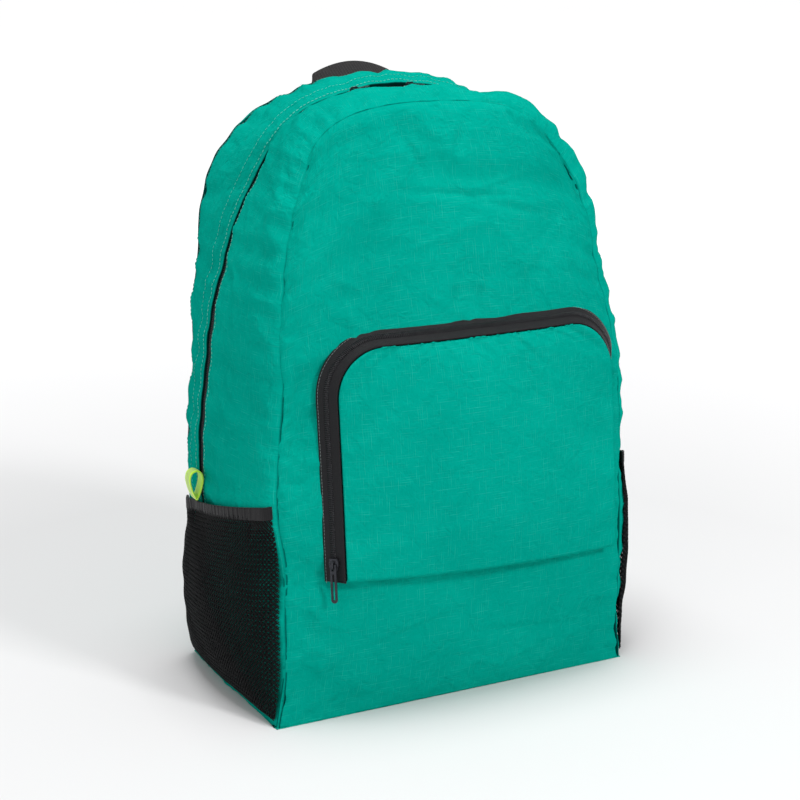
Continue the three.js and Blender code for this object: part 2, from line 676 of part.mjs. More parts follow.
function pocketOutline(inset) {
  const half = POCKET_WIDTH / 2 - inset;
  const top = POCKET_TOP - inset;
  const radius = POCKET_CORNER - inset;
  const points = [];
  for (let i = 0; i < POCKET_SIDE_STEPS; i += 1) {
    points.push([-half, lerp(POCKET_BOTTOM, top - radius, i / POCKET_SIDE_STEPS)]);
  }
  for (let i = 0; i < POCKET_CORNER_STEPS; i += 1) {
    const angle = (Math.PI / 2) * (i / POCKET_CORNER_STEPS);
    points.push([-half + radius * (1 - Math.cos(angle)), top - radius * (1 - Math.sin(angle))]);
  }
  for (let i = 0; i < POCKET_TOP_STEPS / 2; i += 1) {
    points.push([(radius - half) * (1 - (2 * i) / POCKET_TOP_STEPS), top]);
  }
  points.push([0, top]);
  const mirrored = points.slice(0, -1).reverse().map(([x, z]) => [-x, z]);
  return [...points, ...mirrored].map(([x, z]) => vec(x + POCKET_SHIFT, 0, z));
}

// The height in y of a panel's face at (x, z), found by walking its own grid
function faceFinder(face) {
  const step = 0.01;
  return (x, z) => {
    let u = 0.5;
    let v = clamp(z / BODY_HEIGHT, 0, 0.98);
    for (let pass = 0; pass < 12; pass += 1) {
      const here = face(u, v);
      u = clamp(u + ((x - here.x) / (face(u + step, v).x - here.x)) * step, 0, 0.98);
      v = clamp(v + ((z - here.z) / (face(u, v + step).z - here.z)) * step, 0, 0.98);
    }
    return face(u, v).y;
  };
}
const frontFaceAt = faceFinder(coonsFace(frontSeam, false, 0, frontDepth));
const backFaceAt = faceFinder(coonsFace(backSeam, true, 0, (u, v) => BACK_CROWN * crownShape(u, v)));

// A smoothed base for the pocket, clear of the front panel's folds
function pocketBaseY(x, z) {
  const reach = BODY_WIDTH * 0.03;
  const near = [[0, 0], [reach, 0], [-reach, 0], [0, reach], [0, -reach]];
  return Math.min(...near.map(([dx, dz]) => frontFaceAt(x + dx, z + dz)));
}

const pocketAt = (list, share) => {
  const at = clamp(share, 0, 1) * POCKET_STATIONS;
  const i = Math.min(Math.floor(at), POCKET_STATIONS - 1);
  return list[i].clone().lerp(list[i + 1], at - i);
};

// Sheet of the zip band: across runs from the raised inner edge (0) to the panel (1)
const bandInner = pocketOutline(POCKET_TAPE_WIDTH);
const bandOuter = pocketOutline(0);
for (const point of bandInner) {
  point.y = pocketBaseY(point.x, point.z) - POCKET_RISE - TAPE_WALL;
}
for (const point of bandOuter) {
  point.y = pocketBaseY(point.x, point.z) - TAPE_WALL - REST_GAP;
}

// The band's outward direction at a station
function bandOut(share) {
  const step = 0.5 / POCKET_STATIONS;
  const run = pocketAt(bandInner, share + step).sub(pocketAt(bandInner, share - step));
  const down = pocketAt(bandOuter, share).sub(pocketAt(bandInner, share));
  return run.cross(down).normalize();
}

function addPocketZip() {
  const band = (lift) => (u, v) =>
    pocketAt(bandInner, u).lerp(pocketAt(bandOuter, u), v).addScaledVector(BACKWARDS, -lift);
  addPiece('pocket_zip_tape', wall(band(0), band(-TAPE_WALL), POCKET_STATIONS, 2), BLACK_WEBBING);
  const middle = (u) => pocketAt(bandInner, u).lerp(pocketAt(bandOuter, u), 0.5);
  const sideLength = POCKET_TOP - POCKET_CORNER - POCKET_BOTTOM;
  const sharePerLength = POCKET_SIDE_STEPS / POCKET_STATIONS / sideLength;
  const sliderShare = (POCKET_SLIDER_HEIGHT - POCKET_BOTTOM) * sharePerLength;
  const clear = (SLIDER_LENGTH / 2 + REST_GAP) * sharePerLength;
  const shares = sharesBetween(sliderShare + clear, 1, POCKET_STATIONS);
  const coil = (raised) => (u, v) => {
    const share = shares[Math.round(u * (shares.length - 1))];
    const out = bandOut(share);
    const down = pocketAt(bandOuter, share).sub(pocketAt(bandInner, share)).normalize();
    const height = REST_GAP + raised * COIL_HEIGHT * (0.4 + 0.6 * Math.sin(Math.PI * v));
    return middle(share)
      .addScaledVector(down, (v - 0.5) * COIL_WIDTH)
      .addScaledVector(out, height);
  };
  addPiece('pocket_zip_coil', wall(coil(1), coil(0), shares.length - 1, 4), BLACK_COIL);
  const out = bandOut(sliderShare);
  const at = middle(sliderShare).addScaledVector(out, REST_GAP + COIL_HEIGHT);
  const run = pocketAt(bandInner, sliderShare + clear).sub(pocketAt(bandInner, sliderShare));
  run.addScaledVector(out, -run.dot(out)).normalize();
  addSlider('pocket', POCKET_PULL_LENGTH, at, run, out, run.clone().negate());
}

// The pocket's face: rows follow the arch's stations, the lowest rows roll under.
// A rolled row stands out and hangs down by shares of the pocket's rise.
const POCKET_ROLL = [
  { out: 0.02, down: -0.1 },
  { out: 0.55, down: 0.35 },
  { out: 0.95, down: 0.1 },
];

function addPocketPanel() {
  const edge = pocketOutline(POCKET_TAPE_WIDTH + REST_GAP);
  const rows = POCKET_SIDE_STEPS + POCKET_CORNER_STEPS;
  const half = (edge.at(-1).x - edge[0].x) / 2;
  const height = POCKET_TOP - POCKET_BOTTOM;
  const steps = rows + POCKET_ROLL.length - 1;
  const face = (depth) => (u, v) => {
    const j = Math.round(v * steps);
    const rolled = POCKET_ROLL[j] ?? { out: 1, down: 0 };
    const row = Math.max(j - POCKET_ROLL.length + 1, 0);
    const [left, right] = [edge[row], edge[edge.length - 1 - row]];
    const shrink = depth > 0 ? 1 - depth / half : 1;
    const middle = (left.x + right.x) / 2;
    const x = middle + lerp(left.x - middle, right.x - middle, u) * shrink;
    const z = left.z - rolled.down * POCKET_RISE;
    const rise = clamp((left.z - POCKET_BOTTOM) / (height - POCKET_TAPE_WIDTH), 0, 1);
    const crown = Math.sin(Math.PI * u) ** 0.6 * Math.sin(Math.PI * lerp(0.22, 1, rise)) ** 0.6;
    const [foldX, foldZ] = [x - POCKET_SHIFT, z - POCKET_BOTTOM];
    const fold = foldDepth(POCKET_FOLDS, foldX, foldZ, half, height, POCKET_WIDTH);
    const fade = Math.sin(Math.PI * u) ** 0.5 * Math.sin(Math.PI * rise) ** 0.5;
    const stand = rolled.out * (POCKET_RISE + CLOTH + POCKET_CROWN * (crown - fade * fold));
    const behind = rolled.out > 0.5 ? depth : 0;
    const above = j < 2 ? depth : 0;
    return vec(x, pocketBaseY(x, z) - REST_GAP - stand + behind, z + above);
  };
  addPiece('pocket_panel', wall(face(0), face(CLOTH), POCKET_TOP_STEPS, steps), GREEN_CLOTH);
}

// Side skin as one sheet from front seam (0) to back seam (1), across both side panels
function sideSheet(share, depth, lift) {
  const split = 0.75;
  return depth < split
    ? frontSkin(share, depth / split, lift)
    : rearSkin(share, (depth - split) / (1 - split), lift);
}

// Mesh side pockets, mirrored: side is -1 on the left and 1 on the right
const shareAtHeight = (z) => (z / frontHeight / SEAM_ROWS[1].rise) / (2 * ROW_COUNT);

function addMeshPocket(side, name) {
  const hemAt = (depth) => lerp(MESH_FRONT_HEIGHT, MESH_BACK_HEIGHT, depth);
  const place = (depth, z, lift) => {
    const share = shareAtHeight(z);
    return sideSheet(side < 0 ? share : 1 - share, depth, lift);
  };
  const slack = (depth) => HEM_SLACK * Math.sin(Math.PI * depth);
  const bulge = (depth, v) => {
    const sideways = Math.sin(Math.PI * depth) ** 0.5;
    const upwards = Math.sin(Math.PI * clamp(v, 0, 1) ** 0.62) * MESH_BULGE;
    return sideways * upwards + slack(depth) * smoothstep(v, 0.1, 1);
  };
  const netTop = (depth) => hemAt(depth) - HEM_HEIGHT - REST_GAP;
  const sideways = (u) => lerp(0.012, 0.988, side < 0 ? 1 - u : u);
  const net = (lift) => (u, v) => {
    const depth = sideways(u);
    const z = lerp(MESH_FOOT, netTop(depth), v);
    return place(depth, z, 2 * REST_GAP + bulge(depth, v) + lift);
  };
  addPiece(`mesh_pocket_${name}`, wall(net(MESH_WALL), net(0), 10, 9), BLACK_MESH);
  const hem = (lift) => (u, v) => {
    const depth = sideways(u);
    const z = hemAt(depth) - HEM_HEIGHT * (1 - v);
    return place(depth, z, REST_GAP + slack(depth) + lift);
  };
  addPiece(`mesh_hem_${name}`, wall(hem(HEM_WALL), hem(0), 10, 2), BLACK_WEBBING);
}

// Loop tab: a folded tape standing on the left hem beside the zip's end
function addLoopTab() {
  const depth = 0.74;
  const hemTop = lerp(MESH_FRONT_HEIGHT, MESH_BACK_HEIGHT, depth - TAB_WIDTH / 2 / BASE_DEPTH);
  const foot = sideSheet(shareAtHeight(hemTop), depth, REST_GAP);
  const ring = (inset) => {
    const path = new THREE.Shape();
    const half = TAB_SPREAD / 2 - inset;
    const low = inset * 2.2;
    const high = TAB_HEIGHT - inset;
    path.moveTo(0, low);
    path.bezierCurveTo(half * 0.5, low, half, high * 0.4, half, high - half);
    path.bezierCurveTo(half, high + half * 0.3, -half, high + half * 0.3, -half, high - half);
    path.bezierCurveTo(-half, high * 0.4, -half * 0.5, low, 0, low);
    return path;
  };
  const outline = ring(0);
  outline.holes.push(ring(TAB_WALL));
  const piece = addPiece('loop_tab', standingPlate(outline, TAB_WIDTH), BRIGHT_TAPE);
  const beside = sideSheet(shareAtHeight(hemTop + TAB_HEIGHT), depth, REST_GAP);
  const x = Math.min(foot.x, beside.x) - TAB_SPREAD / 2 - 3 * REST_GAP;
  piece.position.set(x, foot.y, foot.z + REST_GAP);
}

// Flat tape swept along rows of {at, across}: its middle points and its width as a vector
function ribbon(rows, thickness, steps, acrossSteps = 1) {
  const middle = new THREE.CatmullRomCurve3(rows.map((row) => row.at), false, 'centripetal');
  const sideways = new THREE.CatmullRomCurve3(rows.map((row) => row.across), false, 'centripetal');
  const face = (lift) => (u, v) => {
    const across = sideways.getPoint(v);
    const out = across.clone().cross(middle.getTangent(v)).normalize();
    return middle.getPoint(v).addScaledVector(across, u - 0.5).addScaledVector(out, lift);
  };
  return wall(face(thickness / 2), face(-thickness / 2), acrossSteps, steps);
}

function addHaulLoop() {
  const row = ({ side, up, turn }, mirror) => {
    const z = BODY_HEIGHT + lerp(-HAUL_DROP, HAUL_RISE, up);
    const across = vec(mirror * (1 - turn), -turn, 0).normalize();
    const reach = (HAUL_WIDTH * Math.abs(across.y) + HAUL_WALL * Math.abs(across.x)) / 2;
    const x = HAUL_SHIFT + (mirror * side * HAUL_SPAN) / 2;
    const half = (HAUL_WIDTH * Math.abs(across.x)) / 2;
    const behind = z < zipHeight - HAUL_WIDTH / 4
      ? Math.max(...[x - half, x, x + half].map((at) => backFaceAt(at, z)))
      : backY(BODY_HEIGHT * 0.96);
    return {
      at: vec(x, behind + REST_GAP + reach, z),
      across: across.multiplyScalar(HAUL_WIDTH),
    };
  };
  const left = HAUL_ROWS.map((entry) => row(entry, -1));
  const right = HAUL_ROWS.slice(0, -1).reverse().map((entry) => row(entry, 1));
  addPiece('haul_loop', ribbon([...left, ...right], HAUL_WALL, 22), BLACK_WEBBING);
}

// Shoulder straps: a soft strap, a plain ladder buckle and a length of webbing each
function addShoulderStrap(side, name) {
  const strapY = (x, z, half, thickness) => {
    const reach = [x - half, x, x + half].map((at) => backFaceAt(at, z));
    return Math.max(...reach) + REST_GAP + thickness / 2;
  };
  const rows = STRAP_ROWS.map(({ down, side: sideways, off, width }) => {
    const x = side * sideways * halfWidth;
    const z = lerp(BODY_HEIGHT - STRAP_DROP, STRAP_END, down);
    const half = (width * STRAP_WIDTH) / 2;
    return {
      at: vec(x, strapY(x, z, half, STRAP_WALL) + STRAP_BOW * off, z),
      across: vec(-2 * half, 0, 0),
    };
  });
  const strap = ribbon([...rows].reverse(), STRAP_WALL, 14, 2);
  addPiece(`shoulder_strap_${name}`, strap, GREEN_CLOTH);

  const end = rows.at(-1).at;
  const frame = new THREE.Shape();
  const [half, long] = [BUCKLE_WIDTH / 2, BUCKLE_LENGTH / 2];
  frame.moveTo(-half, -long);
  frame.lineTo(half, -long);
  frame.lineTo(half, long);
  frame.lineTo(-half, long);
  frame.closePath();
  const bar = BUCKLE_LENGTH / 7;
  for (const middle of [-1, 1]) {
    const slot = new THREE.Path();
    const inner = half - bar;
    const low = middle * (bar + bar / 2) - bar;
    slot.moveTo(-inner, low);
    slot.lineTo(-inner, low + 2 * bar);
    slot.lineTo(inner, low + 2 * bar);
    slot.lineTo(inner, low);
    slot.closePath();
    frame.holes.push(slot);
  }
  const plate = standingPlate(frame, BUCKLE_WALL);
  const buckle = addPiece(`strap_buckle_${name}`, plate, BLACK_PLASTIC);
  buckle.position.copy(end).addScaledVector(UP, -long - REST_GAP);

  const top = end.clone().addScaledVector(UP, -BUCKLE_LENGTH - 2 * REST_GAP);
  const footX = side * WEBBING_FOOT_SHARE * halfWidth;
  const footY = strapY(footX, WEBBING_FOOT, WEBBING_WIDTH / 2, WEBBING_WALL);
  const foot = vec(footX, footY, WEBBING_FOOT);
  const webbingRows = [0, 0.35, 0.7, 1].map((share) => {
    const at = top.clone().lerp(foot, share);
    at.y = lerp(top.y, foot.y, smoothstep(share, 0, 1));
    return { at, across: vec(-WEBBING_WIDTH, 0, 0) };
  });
  const webbing = ribbon([...webbingRows].reverse(), WEBBING_WALL, 8);
  addPiece(`strap_webbing_${name}`, webbing, BLACK_WEBBING);
}

addSidePanels();
addFrontPanel();
addBackPanel();
addBase();
addMainZip();
addMainSliders();
addPocketZip();
addPocketPanel();
addMeshPocket(-1, 'left');
addMeshPocket(1, 'right');
addLoopTab();
addHaulLoop();
addShoulderStrap(-1, 'left');
addShoulderStrap(1, 'right');

export default group;
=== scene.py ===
# %% [markdown]
# # A packable daypack in teal ripstop cloth
# The imported CAD model is the fixed frame: it says where each panel, zip and strap of the
# daypack lies. This scene dresses that frame with cloth, nets, teeth, stitches and webbing.
# Loading comes first.

# %% Load the frame
import math

import bmesh
import bpy
import numpy as np
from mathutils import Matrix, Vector


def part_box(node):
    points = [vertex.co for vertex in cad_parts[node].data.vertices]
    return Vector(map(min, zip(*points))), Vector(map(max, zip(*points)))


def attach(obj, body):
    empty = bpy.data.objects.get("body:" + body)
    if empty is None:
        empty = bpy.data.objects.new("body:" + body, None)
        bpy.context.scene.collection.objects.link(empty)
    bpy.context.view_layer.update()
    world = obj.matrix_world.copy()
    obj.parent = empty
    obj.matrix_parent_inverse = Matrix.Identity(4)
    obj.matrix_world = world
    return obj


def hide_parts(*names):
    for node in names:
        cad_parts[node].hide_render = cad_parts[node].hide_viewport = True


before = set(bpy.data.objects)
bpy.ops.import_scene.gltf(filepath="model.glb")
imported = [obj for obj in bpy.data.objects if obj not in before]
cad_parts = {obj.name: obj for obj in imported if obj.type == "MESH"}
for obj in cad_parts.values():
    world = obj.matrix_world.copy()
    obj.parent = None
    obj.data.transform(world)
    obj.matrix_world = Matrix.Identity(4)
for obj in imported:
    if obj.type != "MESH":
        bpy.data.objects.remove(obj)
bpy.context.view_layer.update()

# %% [markdown]
# ## The bag's sizes and seam lines
# A cloth bag is drawn by its seams. Three of them run up the left side, over the top and
# down the right: the front seam, the main zip and the back seam. A table of places along
# them, in shares of a few named sizes, is easier to read and to change than a list of
# points, and it is the same table that the CAD solids were made from.

# %% Sizes in millimetres
MM = 0.001
BODY_WIDTH, BASE_DEPTH, BODY_HEIGHT = 285.0, 160.0, 434.0
FRONT_DROP, ZIP_DROP = 10.0, 6.0
FRONT_LEAN, BACK_LEAN = 38.0, 18.0
CLOTH, SEAM_GAP, REST_GAP = 2.0, 0.4, 0.3
FRONT_CROWN, BACK_CROWN, SIDE_SWELL, REAR_SWELL, LEFT_PUFF = 13.0, 3.0, 11.0, 3.0, 0.6
LIP_GAP, MOUTH_GAP, MOUTH_HALF_LENGTH, MOUTH_CENTRE = 5.0, 11.0, 56.0, 4.0
TAPE_WIDTH, TAPE_WALL, TAPE_SINK = 12.0, 1.0, 0.5
LEFT_SLIDER_X, RIGHT_SLIDER_X, SLIT_HALF_WIDTH, ZIP_END_HEIGHT = -31.0, 13.0, 3.6, 118.0
HEM_HEIGHT = 9.0
POCKET_WIDTH, POCKET_SHIFT, POCKET_BOTTOM, POCKET_TOP = 242.0, 17.0, 103.0, 275.0
POCKET_CORNER, POCKET_RISE, POCKET_CROWN, POCKET_TAPE = 45.0, 10.0, 7.0, 11.0

HALF_WIDTH, HALF_DEPTH = BODY_WIDTH / 2, BASE_DEPTH / 2
FRONT_HEIGHT, ZIP_HEIGHT = BODY_HEIGHT - FRONT_DROP, BODY_HEIGHT - ZIP_DROP

SEAM_COLUMNS = ("rise", "front", "zip", "back", "zip_back", "sway", "puff")
SEAM_ROWS = (
    (0.0, 1.0, 1.0, 0.99, 0.76, 0, 0),
    (0.09, 0.966, 1.01, 0.997, 0.76, 0.011, 0.5),
    (0.18, 0.97, 1.03, 1.003, 0.76, 0.019, 0.8),
    (0.27, 0.967, 1.038, 0.99, 0.76, 0.026, 0.95),
    (0.36, 0.983, 1.045, 0.995, 0.755, 0.021, 1.0),
    (0.45, 0.975, 1.045, 0.995, 0.745, 0.028, 1.0),
    (0.54, 0.954, 1.025, 0.97, 0.73, 0.034, 1.1),
    (0.63, 0.92, 0.985, 0.968, 0.71, 0.022, 1.2),
    (0.71, 0.877, 0.92, 0.94, 0.69, 0.014, 1.35),
    (0.79, 0.835, 0.855, 0.925, 0.665, 0.012, 1.5),
    (0.87, 0.751, 0.735, 0.86, 0.64, 0.007, 1.6),
    (0.93, 0.649, 0.61, 0.7, 0.62, -0.007, 1.3),
    (0.97, 0.519, 0.47, 0.49, 0.6, -0.01, 0.85),
    (0.992, 0.323, 0.27, 0.3, 0.59, -0.014, 0.6),
    (1.0, 0, 0, 0, 0.585, -0.01, 0.5),
)
SEAM = {name: np.array([row[i] for row in SEAM_ROWS]) for i, name in enumerate(SEAM_COLUMNS)}
ROW_COUNT = len(SEAM_ROWS) - 1
SHOULDER = 11 / (2 * ROW_COUNT)
UP, BACK = np.array([0.0, 0.0, 1.0]), np.array([0.0, 1.0, 0.0])


# %% Curves through the seam table
def lerp(a, b, share):
    return a + (b - a) * share


def smooth(x, low, high):
    t = np.clip((x - low) / (high - low), 0, 1)
    return t * t * (3 - 2 * t)


def unit(vectors):
    return vectors / np.maximum(np.linalg.norm(vectors, axis=-1, keepdims=True), 1e-9)


def front_y(z):
    return -HALF_DEPTH + FRONT_LEAN * z / FRONT_HEIGHT


def back_y(z):
    return HALF_DEPTH - BACK_LEAN * (z / BODY_HEIGHT) ** 2


def smooth_curve(points):
    """A centripetal curve through points, as a function of an array of shares."""
    points = np.asarray(points, float)
    first, last = 2 * points[0] - points[1], 2 * points[-1] - points[-2]
    padded = np.vstack([first, points, last])
    root = np.sqrt(np.maximum(np.linalg.norm(np.diff(padded, axis=0), axis=1), 1e-9))[:, None]

    def at(share):
        place = np.clip(share, 0, 1) * (len(points) - 1)
        i = np.minimum(np.floor(place).astype(int), len(points) - 2)
        w = (place - i)[..., None]
        a, b, c, d = (padded[i + k] for k in range(4))
        before, here, after = root[i], root[i + 1], root[i + 2]
        start = ((b - a) / before - (c - a) / (before + here) + (c - b) / here) * here
        end = ((c - b) / here - (d - b) / (here + after) + (d - c) / after) * here
        bend = -3 * b + 3 * c - 2 * start - end
        return b + start * w + bend * w**2 + (2 * b - 2 * c + start + end) * w**3

    return at


def wobble(share, seed):
    """Small irregular waves of a sewn edge, in shares of their height."""
    rng = np.random.default_rng(seed)
    wave = np.zeros_like(share)
    for length in (0.021, 0.034, 0.05, 0.081, 0.13):
        wave = wave + rng.uniform(0.5, 1) * np.sin(2 * np.pi * share / length + rng.uniform(0, 2 * np.pi))
    strength = 0.55 + 0.45 * np.sin(2 * np.pi * share / 0.37 + seed)
    return wave / 2 * strength * smooth(np.minimum(share, 1 - share), 0, 0.03)


class SeamLine:
    """A seam from the left foot over the top to the right foot."""

    def __init__(self, column, height, y_at, sway_share, wave, seed):
        self.wave, self.seed = wave, seed
        z = SEAM["rise"] * height
        sway = SEAM["sway"] * BODY_WIDTH * sway_share
        sides = []
        for side in (-1, 1):
            x = side * SEAM[column] * HALF_WIDTH + sway
            sides.append(np.stack([x, y_at(z), z], axis=1))
        self.curve = smooth_curve(np.vstack([sides[0], sides[1][-2::-1]]))

    def at(self, share):
        sideways = (self.wave * wobble(share, self.seed))[..., None]
        outwards = (self.wave * wobble(share, self.seed + 1))[..., None]
        return self.curve(share) + 0.6 * sideways * BACK + outwards * self.out(share)

    def out(self, share):
        step = 1 / (4 * ROW_COUNT)
        run = self.curve(share + step) - self.curve(share - step)
        return unit(np.stack([-run[..., 2], 0 * run[..., 0], run[..., 0]], axis=-1))


front_seam = SeamLine("front", FRONT_HEIGHT, front_y, 1, 0.8, 71)
back_seam = SeamLine("back", BODY_HEIGHT, back_y, 0, 1.1, 81)
zip_seam = SeamLine("zip", ZIP_HEIGHT, lambda z: lerp(front_y(z), back_y(z), SEAM["zip_back"]), 0.5, 0.35, 91)
print("top of the front seam:", front_seam.at(np.array([0.5]))[0].round(1))

# %% [markdown]
# ## The cloth's surfaces as functions
# Each panel is a function from (share along, share across) to a point. A function can be
# sampled coarsely for a cloth simulation and finely for the finished mesh, and the net
# pockets, tapes and stitches can ask the same function where the cloth lies under them.


# %% Zip lips and side cloth
def lip_half_gap(points):
    z, x = points[..., 2], points[..., 0]
    closed = lerp(SEAM_GAP, LIP_GAP, smooth(z, ZIP_END_HEIGHT, ZIP_END_HEIGHT + 2 * HEM_HEIGHT))
    from_mouth = np.abs(x - MOUTH_CENTRE) / MOUTH_HALF_LENGTH
    opened = np.where(z > FRONT_HEIGHT / 2, 1 - smooth(from_mouth, 0.6, 1), 0)
    return lerp(closed, MOUTH_GAP, opened) / 2


def mouth(share):
    """One where the zip stands open over the top, fading to nothing beyond the sliders."""
    x = zip_seam.at(share)[..., 0]
    return np.where(np.abs(share - 0.5) < 0.15, smooth(x, -36, -10) * (1 - smooth(x, 36, 66)), 0)


def sagging(share):
    """One low on both sides, where the unfilled bag lets the lips fall apart."""
    z = zip_seam.at(share)[..., 2]
    return smooth(z, ZIP_END_HEIGHT + 6, ZIP_END_HEIGHT + 50) * (1 - smooth(z, 250, 350))


def lip(side, share):
    points = zip_seam.at(share)
    apart = lip_half_gap(points) + 2.2 * sagging(share) + 1.5 * mouth(share)
    raised = (2.6 if side > 0 else -0.8) * mouth(share)
    return points + side * apart[..., None] * BACK + raised[..., None] * UP


def puff_at(share):
    low = np.clip(np.minimum(share, 1 - share), 0, 0.5) * 2 * ROW_COUNT
    puff = np.interp(low, np.arange(ROW_COUNT + 1), SEAM["puff"])
    return puff * lerp(LEFT_PUFF, 1, smooth(share, 0.42, 0.58))


SIDE_FOLDS = (
    # along, back, length, width, depth
    (0.2, 0.35, 0.05, 0.2, 0.35),
    (0.27, 0.7, 0.06, 0.18, 0.3),
    (0.34, 0.4, 0.035, 0.25, 0.3),
    (0.41, 0.55, 0.03, 0.25, -0.2),
)


def side_swell(share, back):
    t = np.clip(back, 0, 1)
    swell = SIDE_SWELL * puff_at(share) * np.sin(np.pi * t**0.65)
    swell = swell * (1 - 0.55 * mouth(share) * smooth(t, 0.2, 0.8))
    low = np.minimum(share, 1 - share)
    for along, place, length, width, depth in SIDE_FOLDS:
        fold = np.exp(-(((low - along) / length) ** 2) - ((t - place) / width) ** 2)
        swell = swell - SIDE_SWELL * depth * np.sin(np.pi * t) * fold
    return swell


def rear_swell(share, back):
    foot = smooth(np.minimum(share, 1 - share), 0, 0.12)
    return REAR_SWELL * foot * np.sin(np.pi * np.clip(back, 0, 1))


def cloth_between(first, second, share, back, lift):
    across = np.clip(back, 0, 1)[..., None]
    out = unit(lerp(first[1](share), second[1](share), across))
    point = lerp(first[0](share), second[0](share), back[..., None])
    return point + out * np.asarray(lift)[..., None]


FRONT_SEAM_EDGE = (front_seam.at, front_seam.out)
BACK_SEAM_EDGE = (back_seam.at, back_seam.out)
FRONT_LIP = (lambda share: lip(-1, share), zip_seam.out)
REAR_LIP = (lambda share: lip(1, share), zip_seam.out)


def front_skin(share, back, lift=0.0):
    return cloth_between(FRONT_SEAM_EDGE, FRONT_LIP, share, back, side_swell(share, back) + lift)


def rear_skin(share, back, lift=0.0):
    return cloth_between(REAR_LIP, BACK_SEAM_EDGE, share, back, rear_swell(share, back) + lift)


# %% Front and back panels
FRONT_FOLDS = (
    # x, z, angle, length, width, depth
    (-0.13, 0.92, -52, 0.13, 0.035, 0.3),
    (0.2, 0.855, -8, 0.2, 0.032, 0.26),
    (-0.5, 0.8, 40, 0.2, 0.045, -0.2),
    (0.55, 0.74, 62, 0.18, 0.045, 0.22),
    (0.1, 0.68, 84, 0.1, 0.035, 0.24),
    (-0.84, 0.47, 80, 0.13, 0.04, 0.4),
    (-0.84, 0.62, 15, 0.07, 0.035, 0.26),
    (-0.35, 0.12, 20, 0.22, 0.04, 0.2),
    (0.5, 0.11, -14, 0.24, 0.045, 0.22),
)
# Sharper creases of the thin cloth, in the same columns
FRONT_CREASES = (
    (-0.16, 0.9, -57, 0.085, 0.01, 0.16),
    (0.08, 0.905, 64, 0.06, 0.011, 0.12),
    (0.12, 0.828, -6, 0.14, 0.008, 0.15),
    (0.3, 0.845, 10, 0.08, 0.007, -0.1),
    (0.38, 0.8, -14, 0.09, 0.008, 0.1),
    (0.02, 0.665, 85, 0.035, 0.008, 0.14),
    (0.16, 0.672, 80, 0.03, 0.007, 0.12),
    (-0.9, 0.5, 4, 0.035, 0.008, 0.2),
    (-0.88, 0.4, -8, 0.035, 0.008, 0.18),
    (-0.89, 0.32, 10, 0.035, 0.008, 0.16),
    (-0.87, 0.58, -12, 0.04, 0.009, 0.18),
    (-0.2, 0.14, 12, 0.12, 0.008, 0.1),
    (0.35, 0.1, -8, 0.12, 0.009, 0.12),
)


def fold_depth(folds, x, z, half_span, height, span):
    depth = np.zeros_like(x)
    for place_x, place_z, angle, length, width, deep in folds:
        turn = math.radians(angle)
        dx, dz = x - place_x * half_span, z - place_z * height
        along = (dx * math.cos(turn) + dz * math.sin(turn)) / (length * span)
        beside = (dz * math.cos(turn) - dx * math.sin(turn)) / (width * span)
        depth = depth + deep * np.exp(-(along**2) - beside**2)
    return depth


def filled_in(line, mirror, u, v, inset=0.0):
    """A smooth sheet between the two halves of a seam, its top and the base edge."""

    def edge(share):
        share = 1 - share if mirror else share
        return line.at(share) - inset * line.out(share)

    end = np.zeros_like(u)
    u3, v3 = u[..., None], v[..., None]
    low = lerp(edge(end), edge(end + 1), u3)
    high = lerp(edge(end + SHOULDER), edge(end + 1 - SHOULDER), u3)
    top = edge(lerp(SHOULDER, 1 - SHOULDER, u))
    sides = lerp(edge(SHOULDER * v), edge(1 - SHOULDER * v), u3)
    return lerp(low, top, v3) + sides - lerp(low, high, v3)


def crown_shape(u, v):
    upwards = smooth(v, 0, 0.16) * np.sin(np.pi * np.clip(v, 0.5, 1)) ** 0.6
    return np.sin(np.pi * np.clip(u, 0, 1)) ** 0.7 * upwards


def edge_fade(u, v):
    return smooth(np.minimum(u, 1 - u), 0, 0.08) * smooth(np.minimum(v, 1 - v), 0, 0.06)


def front_face(u, v, lift=0.0, creases=True):
    point = filled_in(front_seam, False, u, v)
    x, z = point[..., 0], point[..., 2]
    fold = fold_depth(FRONT_FOLDS, x, z, HALF_WIDTH, BODY_HEIGHT, BODY_WIDTH)
    if creases:
        fold = fold + 1.5 * fold_depth(FRONT_CREASES, x, z, HALF_WIDTH, BODY_HEIGHT, BODY_WIDTH)
    depth = FRONT_CROWN * (edge_fade(u, v) * fold - crown_shape(u, v)) - lift
    return point + depth[..., None] * BACK


def back_face(u, v, lift=0.0):
    point = filled_in(back_seam, True, u, v)
    return point + (BACK_CROWN * crown_shape(u, v) + lift)[..., None] * BACK


# %% [markdown]
# ## From a function to a mesh
# A grid of points becomes a mesh with a UV map in metres, so that a weave keeps its real
# scale. Each cloth edge is turned into the bag by two extra rows, as a seam allowance is:
# two panels then meet in a soft valley with no gap to look through. A mask on those rows
# paints shade into the valley.


# %% Grid meshes
def new_object(name, mesh):
    made = bpy.data.objects.new(name, mesh)
    bpy.context.scene.collection.objects.link(made)
    return made


